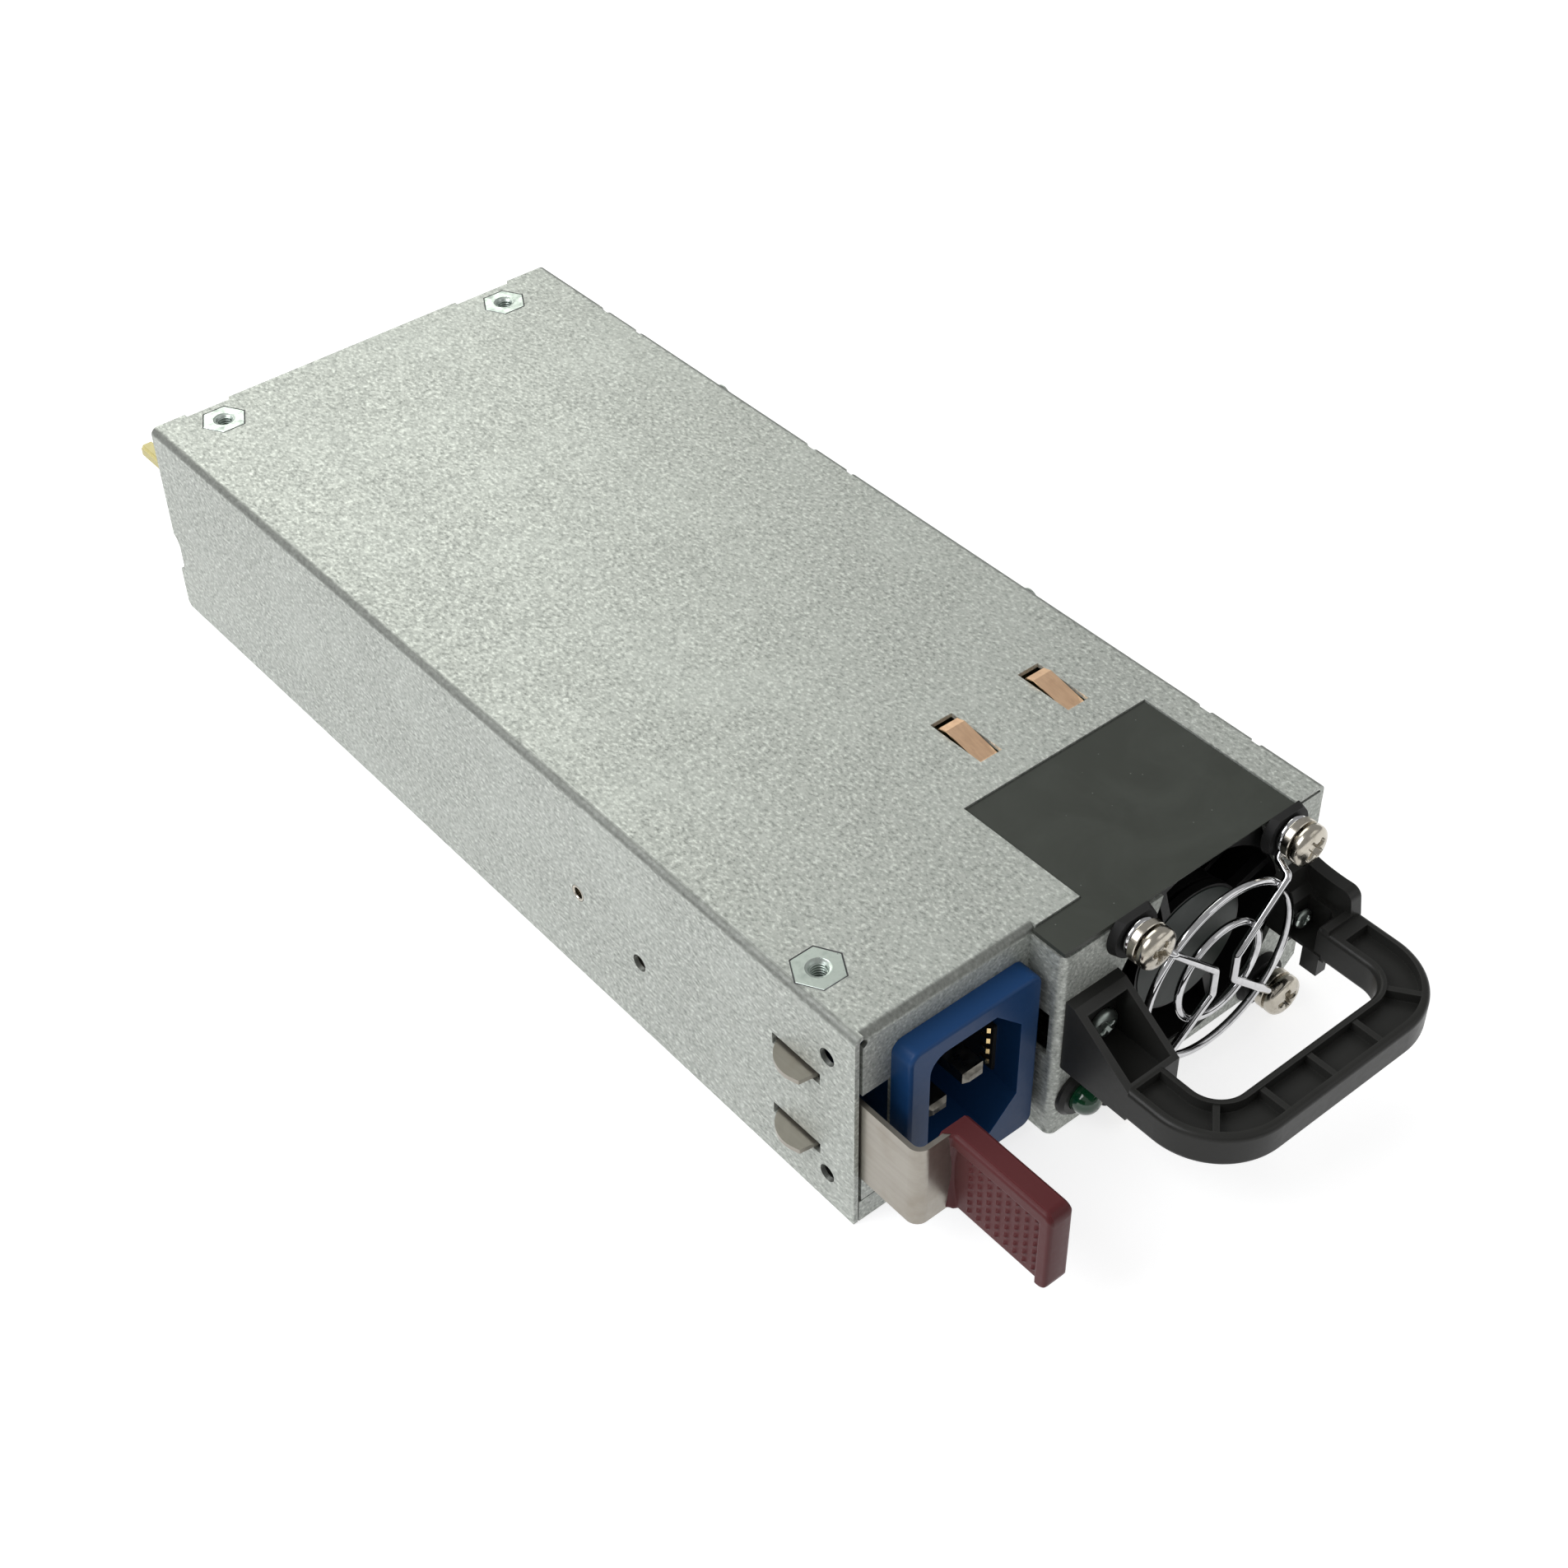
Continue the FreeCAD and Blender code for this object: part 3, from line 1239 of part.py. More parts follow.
def leads():
    """Leads from the inlet, the fan and the lamp to the board, and the earth lead."""
    tail = inlet_face() + socket_depth + 7.0
    lines = []
    for i, (x, z) in enumerate(pin_places()[:2]):
        turn = board_front + 3.0 + 2.6 * i
        path = [(x, tail, z), (x, turn, z), (x, turn, board_low)]
        lines.append(wire_run("line_lead_%d" % (i + 1), path, lead))
    group("line_leads", lines)
    x, z = pin_places()[2]
    lug_x, lug_y = nuts[2]
    lug_z = board_top + 2.2
    turn = board_front - 2.6
    path = [
        (x, tail, z), (x, turn, z), (x, turn, lug_z), (lug_x, turn, lug_z),
        (lug_x, lug_y + 5.0, lug_z)]
    node(wire_run("earth_lead", path, lead), "earth_lead")
    thin = lead * 0.5
    fan_pair = []
    for i in range(2):
        x = fan_x - 16.5 + 1.6 * i
        path = [
            (x, fan_rear, fan_z + fan_size / 2 - 1.2), (x, board_front + 2.0 + i,
            fan_z + fan_size / 2 - 1.2), (x, board_front + 2.0 + i, board_top)]
        fan_pair.append(wire_run("fan_lead_%d" % (i + 1), path, thin))
    group("fan_leads", fan_pair)
    x, z = lamp_place()
    lamp_pair = []
    for i in range(2):
        side = x - 0.7 + 1.4 * i
        turn = board_front + 3.0 + i
        path = [(side, front + 5.0, z), (side, turn, z), (side, turn, board_low)]
        lamp_pair.append(wire_run("lamp_lead_%d" % (i + 1), path, thin))
    return group("lamp_leads", lamp_pair)


def insulators():
    """Black polyester sheets: one inside the left wall, one over the floor."""
    side = block("side_insulator", left + steel + 0.02, bay_front + 74.0, 0.1, fit - 0.04,
                 rear - bay_front - 73.6, 20.9)
    node(side, "side_insulator")
    floor = block("floor_insulator", left + 3.0, board_front + 2.0, steel, case_width - 6.2,
                  rear - board_front - 6.0, 0.25)
    return node(floor, "floor_insulator")


def cover_screws():
    """Low-headed screws through the right rim into the cover."""
    screws = []
    for i, y in enumerate(rim_screw_places()):
        profile = [(0.0, -3.4), (1.25, -3.4), (1.25, 0.0), (2.0, 0.0), (2.0, 0.35), (0.0, 0.35)]
        screw = turned("cover_screw_%d" % (i + 1), profile, right, y, top - 2.7, "X")
        pocket(screw, "XY", [rect(-1.2, -0.25, 1.2, 0.25)], 0.1, 0.6)
        screws.append(screw)
    return group("cover_screws", screws)


def capacitors():
    """Two large capacitors lying under the board, six standing at the output, two film blocks."""
    radius = bulk_radius
    bulk = []
    for i in range(2):
        can = [
            (0.0, 0.0), (radius - 0.6, 0.0), (radius, 0.6), (radius, 2.6), (radius - 0.7, 3.2),
            (radius, 3.8), (radius, bulk_length), (0.0, bulk_length)]
        bulk.append(turned(
            "bulk_capacitor_%d" % (i + 1), can, right - 5.0 - radius,
            board_front + 2.5 + (bulk_length + 3.0) * i, board_low - radius, "Y"))
    group("bulk_capacitors", bulk)
    output = []
    for i in range(6):
        can = [(0.0, 0.0), (4.0, 0.0), (4.0, -14.5), (3.6, -15.0), (0.0, -15.0)]
        output.append(turned(
            "output_capacitor_%d" % (i + 1), can, left + 16.0 + 9.4 * i, rear - 19.0, board_low, "Z"))
    group("output_capacitors", output)
    film_boxes = [
        block("film_capacitor_%d" % (i + 1), left + 28.0, board_front + 6.0 + 11.0 * i,
              board_low - 15.0, 17.0, 8.0, 15.0)
        for i in range(2)]
    return group("film_capacitors", film_boxes)


def fuse():
    """Cartridge fuse with two end caps."""
    profile = [
        (0.0, 0.0), (2.7, 0.0), (2.7, 5.0), (2.4, 5.0), (2.4, 15.0), (2.7, 15.0), (2.7, 20.0),
        (0.0, 20.0)]
    body = turned("fuse", profile, left + 49.0, board_front + 7.0, board_low - 2.7, "Y")
    return node(body, "fuse")


def toroid(label, x, y, inner, outer, height, spans):
    """Ring core lying under the board with one winding round each span of it."""
    low = board_low - height - 2.4
    core = new_body(label + "_core", x, y, low)
    revolve(core, [rect(inner, 1.2, outer, height + 1.2)])
    node(core, label + "_core")
    windings = []
    for i, (start, angle) in enumerate(spans):
        winding = new_body("%s_winding_%d" % (label, i + 1), x, y, low, (0, 0, 1), start)
        revolve(winding, [
            rect(inner - 1.2, 0.0, outer + 1.2, height + 2.4),
            rect(inner - 0.02, 1.18, outer + 0.02, height + 1.22)], angle)
        windings.append(winding)
    return group(label + "_windings", windings)


def transformer():
    """Main transformer: a core with two windows, and a winding round its middle leg."""
    core = new_body("transformer_core", left + 22.0, bay_front + 104.0, board_low - 26.5)
    half = core_width / 2
    leg = core_width / 3.3
    window = half - leg / 2 - 4.6
    loops = [rect(-half, 0.0, half, 26.0)]
    for side in (-1.0, 1.0):
        inner, outer = side * leg / 2, side * (leg / 2 + window)
        low, high = (inner, outer) if side > 0 else (outer, inner)
        loops.append(rect(low, 4.6, high, 21.4))
    pad(core, "XZ", loops, -6.5, 6.5)
    node(core, "transformer_core")
    winding = new_body("transformer_winding", left + 22.0, bay_front + 104.0, board_low - 26.5)
    reach = leg / 2 + window - 0.3
    pad(winding, "XY", [rect(-reach, -12.8, reach, 12.8)], 4.7, 21.3)
    blend(winding, 4.0, "Z", [
        (-reach, -12.8), (-reach, 12.8), (reach, -12.8), (reach, 12.8)])
    slot = rect(-leg / 2 - 0.05, -6.55, leg / 2 + 0.05, 6.55)
    pocket(winding, "XY", [slot], 4.0, 22.0)
    return node(winding, "transformer_winding")


def heatsinks():
    """Two finned aluminium heat sinks under the board and the transistors screwed to them."""
    transistors = []
    rows_of_sinks = (
        ("primary_heatsink", left + 46.0, bay_front + 56.0, 58.0, 3),
        ("secondary_heatsink", left + 58.0, bay_front + 124.0, 40.0, 2))
    for label, x, y, length, count in rows_of_sinks:
        sink = new_body(label, x, y, board_low - 24.0)
        comb = [(0.0, 0.0), (9.0, 0.0), (9.0, 1.2)]
        for k in range(4):
            foot = 1.2 + 5.6 * k
            comb += [(2.6, foot), (2.6, foot + 4.4), (9.0, foot + 4.4), (9.0, foot + 5.6)]
        comb += [(0.0, 23.6)]
        pad(sink, "XZ", [comb], 0.0, length)
        node(sink, label)
        for k in range(count):
            transistors.append(power_transistor(
                label + "_device_%d" % (k + 1), x, y + 11.0 + 18.0 * k))
    return group("power_transistors", transistors)


def power_transistor(label, x, y):
    """Flat power package with three legs up to the board and a screw boss."""
    body = new_body(label, x, y, board_low - 21.0)
    pad(body, "YZ", [rect(-5.0, 0.0, 5.0, 15.5)], -4.4, -0.02)
    legs = [rect(s - 0.45, 15.0, s + 0.45, 21.0) for s in (-2.54, 0.0, 2.54)]
    for loop in legs:
        pad(body, "YZ", [loop], -2.6, -2.0)
    pad(body, "YZ", [(0.0, 3.2, 2.3)], -5.6, -4.0)
    return body


def control_card():
    """Upright control card with a row of chips."""
    x = right - 10.0
    y = bay_front + 112.0
    body = new_body("control_card", x, y, board_low)
    pad(body, "YZ", [rect(0.0, -19.0, 52.0, 0.0)], 0.0, 1.2)
    chips = [rect(4.0 + 12.0 * k, -14.0, 11.0 + 12.0 * k, -7.0) for k in range(4)]
    pad(body, "YZ", chips, -1.4, 0.1)
    return node(body, "control_card")


base_tray()
cover()
clinch_standoffs()
board_posts()
cover_screws()
fan_film()
ground_springs()
inlet_body()
inlet_pins()
contact_block()
latch_tab(latch_spring())
latch_rivet()
fan_frame()
fan_label()
fan_stator()
fan_bearings()
fan_rotor()
fan_guard()
fan_fasteners()
handle()
handle_screws()
status_lamp()
main_board()
edge_contacts()
board_screws()
earth_lug()
leads()
insulators()
capacitors()
fuse()
toroid("line_choke", left + 14.0, board_front + 19.0, 5.0, 9.0, 8.0, ((15.0, 150.0), (195.0, 150.0)))
toroid("boost_choke", left + 20.0, board_front + 48.0, 6.5, 12.0, 12.0, ((20.0, 320.0),))
transformer()
heatsinks()
control_card()
doc.recompute()

for item in doc.Objects:
    if "Invalid" in item.State or "Error" in item.State:
        raise RuntimeError("%s did not rebuild: %s" % (item.Label, item.State))
for item in nodes:
    if item.Shape.isNull() or not item.Shape.Solids or not item.Shape.isValid():
        raise RuntimeError(item.Label + " is not a sound solid")

os.makedirs("parts", exist_ok=True)
for item in nodes:
    item.Shape.exportStep(os.path.join("parts", item.Label + ".step"))
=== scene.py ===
import json
import math

import bmesh
import bpy
from mathutils import Matrix, Vector


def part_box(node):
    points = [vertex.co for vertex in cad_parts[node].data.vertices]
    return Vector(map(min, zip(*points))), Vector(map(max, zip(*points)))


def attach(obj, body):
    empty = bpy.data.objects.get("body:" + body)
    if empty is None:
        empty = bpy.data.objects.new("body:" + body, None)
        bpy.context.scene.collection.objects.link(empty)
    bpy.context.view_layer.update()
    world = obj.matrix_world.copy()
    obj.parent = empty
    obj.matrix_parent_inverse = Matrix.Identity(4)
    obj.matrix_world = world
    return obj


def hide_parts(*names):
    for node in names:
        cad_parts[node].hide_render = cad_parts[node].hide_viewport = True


# Looks of the hot swap power supply: camera, soft light, finishes and the fine pieces.

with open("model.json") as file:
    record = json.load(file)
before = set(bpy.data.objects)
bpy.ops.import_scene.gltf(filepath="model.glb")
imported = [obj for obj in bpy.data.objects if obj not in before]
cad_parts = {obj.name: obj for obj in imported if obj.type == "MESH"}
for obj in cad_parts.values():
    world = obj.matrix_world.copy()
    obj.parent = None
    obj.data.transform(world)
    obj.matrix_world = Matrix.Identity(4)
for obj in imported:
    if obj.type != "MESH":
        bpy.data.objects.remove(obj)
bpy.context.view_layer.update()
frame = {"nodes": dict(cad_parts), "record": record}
NODES = frame["nodes"]
SLOTS = {row["node"]: row["material_slot"] for row in frame["record"]["subparts"]}

MM = 0.001
SENSOR_MM = 36.0
AZIMUTH, ELEVATION, ROLL = -39.1, 42.23, -1.07
CAMERA_DISTANCE = 0.4551
CAMERA_TARGET = Vector((0.0267, 0.0077, -0.0246))
FOCAL_MM = 55.61

SKY_STRENGTH = 0.42
BACKDROP_STRENGTH = 1.0
FLOOR_SPAN = 6.0
FLOOR_DROP = 0.0002
FLOOR_GREY = 0.50
FLOOR_GLOW = 0.76


# ---------------------------------------------------------------- camera, light and floor

def make_camera():
    """Camera that turns about its target, with the photograph's viewing angle."""
    azimuth, elevation, roll = (math.radians(a) for a in (AZIMUTH, ELEVATION, ROLL))
    back = Vector((
        math.sin(azimuth) * math.cos(elevation),
        -math.cos(azimuth) * math.cos(elevation),
        math.sin(elevation)))
    level = Vector((0, 0, 1)).cross(back).normalized()
    upright = back.cross(level)
    right = level * math.cos(roll) + upright * math.sin(roll)
    up = upright * math.cos(roll) - level * math.sin(roll)
    data = bpy.data.cameras.new("camera")
    data.sensor_width = SENSOR_MM
    data.lens = FOCAL_MM
    data.clip_start = 0.01
    camera = bpy.data.objects.new("camera", data)
    bpy.context.scene.collection.objects.link(camera)
    turn = Matrix((right, up, back)).transposed().to_4x4()
    camera.matrix_world = Matrix.Translation(CAMERA_TARGET + back * CAMERA_DISTANCE) @ turn
    bpy.context.scene.camera = camera


def area_light(name, place, target, size, watts, colour=(1.0, 1.0, 1.0)):
    """Rectangular lamp that faces its target."""
    data = bpy.data.lights.new(name, "AREA")
    data.shape = "RECTANGLE"
    data.size, data.size_y = size
    data.energy = watts
    data.color = colour
    lamp = bpy.data.objects.new(name, data)
    bpy.context.scene.collection.objects.link(lamp)
    lamp.location = place
    lamp.rotation_euler = (Vector(target) - Vector(place)).to_track_quat("-Z", "Y").to_euler()


def white_for_rays(nodes, links, plain, white, rays):
    """Shows the white shader to the rays of the given kinds, and the plain one to all others."""
    path = nodes.new("ShaderNodeLightPath")
    either = path.outputs[rays[0]]
    for name in rays[1:]:
        top = nodes.new("ShaderNodeMath")
        top.operation = "MAXIMUM"
        links.new(either, top.inputs[0])
        links.new(path.outputs[name], top.inputs[1])
        either = top.outputs[0]
    mix = nodes.new("ShaderNodeMixShader")
    links.new(either, mix.inputs[0])
    links.new(plain, mix.inputs[1])
    links.new(white, mix.inputs[2])
    return mix.outputs[0]


def make_world():
    """Soft sky that lights the object, and plain white where the camera sees it."""
    world = bpy.data.worlds.new("studio")
    bpy.context.scene.world = world
    world.use_nodes = True
    nodes, links = world.node_tree.nodes, world.node_tree.links
    nodes.clear()
    soft = nodes.new("ShaderNodeBackground")
    soft.inputs["Color"].default_value = (1, 1, 1, 1)
    soft.inputs["Strength"].default_value = SKY_STRENGTH
    white = nodes.new("ShaderNodeBackground")
    white.inputs["Strength"].default_value = BACKDROP_STRENGTH
    white.inputs["Color"].default_value = (1, 1, 1, 1)
    output = nodes.new("ShaderNodeOutputWorld")
    shown = white_for_rays(nodes, links, soft.outputs[0], white.outputs[0], ["Is Camera Ray"])
    links.new(shown, output.inputs["Surface"])


def make_floor():
    """A large white floor that fades to the background and keeps the soft shadow."""
    bpy.ops.mesh.primitive_plane_add(size=FLOOR_SPAN, location=(0, 0, -FLOOR_DROP))
    floor = bpy.context.object
    floor.name = "floor"
    material = bpy.data.materials.new("floor")
    material.use_nodes = True
    nodes, links = material.node_tree.nodes, material.node_tree.links
    nodes.clear()
    plain = nodes.new("ShaderNodeBsdfDiffuse")
    plain.inputs["Color"].default_value = (FLOOR_GREY, FLOOR_GREY, FLOOR_GREY, 1)
    glow = nodes.new("ShaderNodeEmission")
    glow.inputs["Color"].default_value = (1, 1, 1, 1)
    glow.inputs["Strength"].default_value = FLOOR_GLOW
    seen = nodes.new("ShaderNodeAddShader")
    links.new(plain.outputs[0], seen.inputs[0])
    links.new(glow.outputs[0], seen.inputs[1])
    output = nodes.new("ShaderNodeOutputMaterial")
    rays = ["Is Camera Ray", "Is Glossy Ray", "Is Transmission Ray"]
    shown = white_for_rays(nodes, links, plain.outputs[0], seen.outputs[0], rays)
    links.new(shown, output.inputs["Surface"])
    floor.data.materials.append(material)


# ---------------------------------------------------------------- material building blocks

class Maker:
    """A material whose principled shader is fed by a few chained nodes."""

    def __init__(self, name, base, rough, metal=0.0, specular=0.5):
        self.material = bpy.data.materials.new(name)
        self.material.use_nodes = True
        self.nodes = self.material.node_tree.nodes
        self.links = self.material.node_tree.links
        self.shader = self.nodes["Principled BSDF"]
        self.shader.inputs["Base Color"].default_value = (*base, 1)
        self.shader.inputs["Roughness"].default_value = rough
        self.shader.inputs["Metallic"].default_value = metal
        self.shader.inputs["Specular IOR Level"].default_value = specular
        self.place = self.nodes.new("ShaderNodeTexCoord").outputs["Object"]
        self.base = base
        self.colour = None
        self.height = None

    def noise(self, scale, detail=3.0, rough=0.55, stretch=None, distort=0.0):
        """Cloudy noise, at a scale in features per metre."""
        node = self.nodes.new("ShaderNodeTexNoise")
        node.inputs["Scale"].default_value = scale
        node.inputs["Detail"].default_value = detail
        node.inputs["Roughness"].default_value = rough
        node.inputs["Distortion"].default_value = distort
        self.links.new(self.stretched(stretch), node.inputs["Vector"])
        return node.outputs["Fac"]

    def stretched(self, stretch):
        """The place on the object, scaled along each axis."""
        if stretch is None:
            return self.place
        mapping = self.nodes.new("ShaderNodeMapping")
        mapping.inputs["Scale"].default_value = stretch
        self.links.new(self.place, mapping.inputs["Vector"])
        return mapping.outputs["Vector"]

    def cells(self, scale, stretch=None, output="Color"):
        """Voronoi cells: one random level per cell, or the distance to a cell's middle."""
        node = self.nodes.new("ShaderNodeTexVoronoi")
        node.inputs["Scale"].default_value = scale
        self.links.new(self.stretched(stretch), node.inputs["Vector"])
        value = node.outputs[output]
        if output == "Color":
            split = self.nodes.new("ShaderNodeSeparateColor")
            self.links.new(value, split.inputs[0])
            value = split.outputs[0]
        return value

    def ramp(self, value, low, high, start=0.0, end=1.0):
        """Maps a value from start..end to low..high."""
        node = self.nodes.new("ShaderNodeMapRange")
        node.inputs["From Min"].default_value = start
        node.inputs["From Max"].default_value = end
        node.inputs["To Min"].default_value = low
        node.inputs["To Max"].default_value = high
        self.links.new(value, node.inputs["Value"])
        return node.outputs[0]

    def math(self, kind, first, second):
        """Combines two sockets or numbers."""
        node = self.nodes.new("ShaderNodeMath")
        node.operation = kind
        for socket, value in zip(node.inputs, (first, second)):
            if isinstance(value, (int, float)):
                socket.default_value = value
            else:
                self.links.new(value, socket)
        return node.outputs[0]

    def tint(self, factor, colour):
        """Blends the colour so far towards another one."""
        node = self.nodes.new("ShaderNodeMix")
        node.data_type = "RGBA"
        self.links.new(factor, node.inputs["Factor"])
        if self.colour is None:
            node.inputs["A"].default_value = (*self.base, 1)
        else:
            self.links.new(self.colour, node.inputs["A"])
        node.inputs["B"].default_value = (*colour, 1)
        self.colour = node.outputs["Result"]

    def roughness(self, value):
        self.links.new(value, self.shader.inputs["Roughness"])

    def bump(self, value, depth, strength=1.0):
        """Adds relief of a depth in metres."""
        node = self.nodes.new("ShaderNodeBump")
        node.inputs["Strength"].default_value = strength
        node.inputs["Distance"].default_value = depth
        self.links.new(value, node.inputs["Height"])
        if self.height is not None:
            self.links.new(self.height, node.inputs["Normal"])
        self.height = node.outputs["Normal"]

    def worn_edges(self, colour, amount, radius=0.0004):
        """Lightens or darkens convex edges, where handling polishes them."""
        bevel = self.nodes.new("ShaderNodeBevel")
        bevel.samples = 4
        bevel.inputs["Radius"].default_value = radius
        plain = self.nodes.new("ShaderNodeNewGeometry")
        turn = self.nodes.new("ShaderNodeVectorMath")
        turn.operation = "DOT_PRODUCT"
        self.links.new(bevel.outputs[0], turn.inputs[0])
        self.links.new(plain.outputs["Normal"], turn.inputs[1])
        edge = self.ramp(turn.outputs["Value"], amount, 0.0, 0.80, 0.985)
        self.tint(edge, colour)

    def bends(self):
        """One on a sheet's folded edges, whose true normal leans two ways, and nil on its flats."""
        geometry = self.nodes.new("ShaderNodeNewGeometry")
        split = self.nodes.new("ShaderNodeSeparateXYZ")
        self.links.new(geometry.outputs["True Normal"], split.inputs[0])
        size = [self.math("ABSOLUTE", split.outputs[k], 0.0) for k in range(3)]
        level = self.math("MULTIPLY", self.math("MAXIMUM", size[0], size[1]), size[2])
        return self.ramp(level, 0.0, 1.0, 0.08, 0.36)

    def done(self):
        if self.colour is not None:
            self.links.new(self.colour, self.shader.inputs["Base Color"])
        if self.height is not None:
            self.links.new(self.height, self.shader.inputs["Normal"])
        return self.material


# ---------------------------------------------------------------- the finishes

def casing_steel():
    """Dull zinc-coated sheet: fine crystals, cloudy patches, faint rolling marks, and a painted dark
    reflection along the bends.
    """
    m = Maker("casing_steel", (0.475, 0.495, 0.462), 0.46, metal=0.5, specular=0.3)
    crystals = m.cells(1900.0, stretch=(1.0, 0.6, 1.0))
    m.tint(m.ramp(crystals, 0.0, 0.50), (0.35, 0.37, 0.34))
    flecks = m.noise(1900.0, detail=2.0, rough=0.6, stretch=(1.0, 0.6, 1.0))
    m.tint(m.ramp(flecks, 0.0, 0.85, 0.54, 0.68), (0.70, 0.73, 0.68))
    m.tint(m.ramp(flecks, 0.75, 0.0, 0.32, 0.46), (0.22, 0.235, 0.215))
    clouds = m.noise(48.0, detail=6.0, rough=0.6)
    m.tint(m.ramp(clouds, 0.0, 0.35, 0.45, 0.75), (0.58, 0.61, 0.57))
    # Painted dark reflection: the sheet's bends are tinted dark, as if they mirrored dark surroundings.
    m.tint(m.math("MULTIPLY", m.bends(), 0.72), (0.115, 0.120, 0.108))
    smears = m.noise(30.0, detail=4.0, stretch=(3.0, 0.4, 1.0))
    rough = m.math("ADD", m.ramp(crystals, 0.40, 0.54), m.ramp(smears, -0.06, 0.08))
    m.roughness(rough)
    m.bump(crystals, 0.000014)
    m.bump(flecks, 0.000014)
    return m.done()


def spring_steel():
    """Satin spring steel, slightly brown, with fine lengthwise draw lines."""
    m = Maker("spring_steel", (0.35, 0.325, 0.285), 0.30, metal=0.9)
    lines = m.noise(900.0, detail=2.0, stretch=(1.0, 0.08, 1.0))
    m.tint(m.ramp(lines, 0.0, 0.45, 0.35, 0.75), (0.26, 0.235, 0.20))
    stains = m.noise(120.0, detail=4.0)
    m.tint(m.ramp(stains, 0.0, 0.45, 0.52, 0.75), (0.24, 0.20, 0.15))
    m.roughness(m.ramp(stains, 0.24, 0.42))
    m.bump(lines, 0.000006)
    return m.done()


def plated(name, base, rough, stain):
    """Bright plating with small dull spots and swirl marks."""
    m = Maker(name, base, rough, metal=1.0)
    spots = m.noise(700.0, detail=4.0)
    m.tint(m.ramp(spots, 0.0, 0.55, 0.48, 0.75), stain)
    m.roughness(m.ramp(spots, rough * 0.7, rough * 1.7, 0.35, 0.75))
    m.bump(m.noise(1800.0), 0.000005)
    return m.done()


def copper_leaf():
    """Bare sprung copper with fine draw lines and light tarnish."""
    m = Maker("copper", (1.0, 0.68, 0.44), 0.30, metal=1.0)
    lines = m.noise(1500.0, stretch=(1.0, 0.1, 1.0))
    m.tint(m.ramp(lines, 0.0, 0.35, 0.4, 0.7), (0.62, 0.36, 0.22))
    tarnish = m.noise(300.0, detail=4.0)
    m.tint(m.ramp(tarnish, 0.0, 0.4, 0.55, 0.75), (0.50, 0.27, 0.16))
    m.roughness(m.ramp(tarnish, 0.26, 0.44))
    m.bump(lines, 0.000004)
    return m.done()


def moulded(name, base, rough, grain=900.0, relief=0.000012, light=1.5, specular=0.3):
    """Moulded plastic: fine spark-eroded grain, faint flow marks and rubbed edges."""
    m = Maker(name, base, rough, specular=specular)
    flow = m.noise(60.0, detail=3.0, distort=0.4)
    lighter = tuple(min(1.0, c * light + 0.004) for c in base)
    m.tint(m.ramp(flow, 0.0, 0.35, 0.4, 0.75), lighter)
    pores = m.noise(grain, detail=4.0, rough=0.6)
    m.roughness(m.math("ADD", m.ramp(pores, rough - 0.07, rough + 0.09), m.ramp(flow, -0.05, 0.05)))
    m.bump(pores, relief)
    m.worn_edges(tuple(min(1.0, c * 1.8 + 0.006) for c in base), 0.5)
    return m.done()


def black_film():
    """Semi-gloss black film with finger smudges and a slight orange peel."""
    m = Maker("film_black", (0.036, 0.040, 0.033), 0.36, specular=0.35)
    smudge = m.noise(70.0, detail=5.0, rough=0.65, distort=0.6)
    m.tint(m.ramp(smudge, 0.0, 0.55, 0.42, 0.70), (0.052, 0.058, 0.049))
    m.roughness(m.ramp(smudge, 0.30, 0.44, 0.35, 0.7))
    m.bump(m.noise(260.0, detail=3.0), 0.000008)
    dust = m.cells(420.0, output="Distance")
    m.tint(m.ramp(dust, 0.5, 0.0, 0.02, 0.06), (0.25, 0.27, 0.24))
    return m.done()


def lens_plastic():
    """Green lens, clear at the skin and milky inside."""
    m = Maker("lens_green", (0.008, 0.085, 0.032), 0.12)
    m.shader.inputs["Coat Weight"].default_value = 0.6
    m.shader.inputs["Transmission Weight"].default_value = 0.25
    milky = m.noise(400.0, detail=3.0)
    m.tint(m.ramp(milky, 0.0, 0.5, 0.4, 0.7), (0.015, 0.14, 0.06))
    m.roughness(m.ramp(milky, 0.08, 0.2))
    return m.done()


def laminate(name, base, weave_colour):
    """Glass laminate: a fine weave showing through the resin."""
    m = Maker(name, base, 0.4)
    weave = m.cells(1100.0, stretch=(1.0, 1.0, 3.0))
    m.tint(m.ramp(weave, 0.0, 0.35), weave_colour)
    fibres = m.noise(1800.0, stretch=(1.0, 1.0, 4.0))
    m.roughness(m.ramp(fibres, 0.32, 0.55))
    m.bump(fibres, 0.00001)
    return m.done()


def aluminium():
    """Extruded aluminium with lengthwise lines."""
    m = Maker("heatsink_aluminium", (0.66, 0.67, 0.68), 0.34, metal=1.0)
    lines = m.noise(1200.0, stretch=(1.0, 0.05, 1.0))
    m.tint(m.ramp(lines, 0.0, 0.4, 0.4, 0.7), (0.50, 0.51, 0.52))
    m.roughness(m.ramp(lines, 0.28, 0.44))
    m.bump(lines, 0.000008)
    return m.done()


def winding(name, base, pitch_per_m):
    """Turns of enamelled wire or tape, drawn as close-set ridges."""
    m = Maker(name, base, 0.28, metal=0.6)
    wave = m.nodes.new("ShaderNodeTexWave")
    wave.inputs["Scale"].default_value = pitch_per_m
    wave.inputs["Distortion"].default_value = 0.4
    m.links.new(m.place, wave.inputs["Vector"])
    ridges = wave.outputs["Fac"]
    # Painted shade: the colour darkens in the grooves between the turns.
    m.tint(m.ramp(ridges, 0.5, 0.0), tuple(c * 0.45 for c in base))
    m.roughness(m.ramp(ridges, 0.45, 0.25))
    m.bump(ridges, 0.0002)
    return m.done()


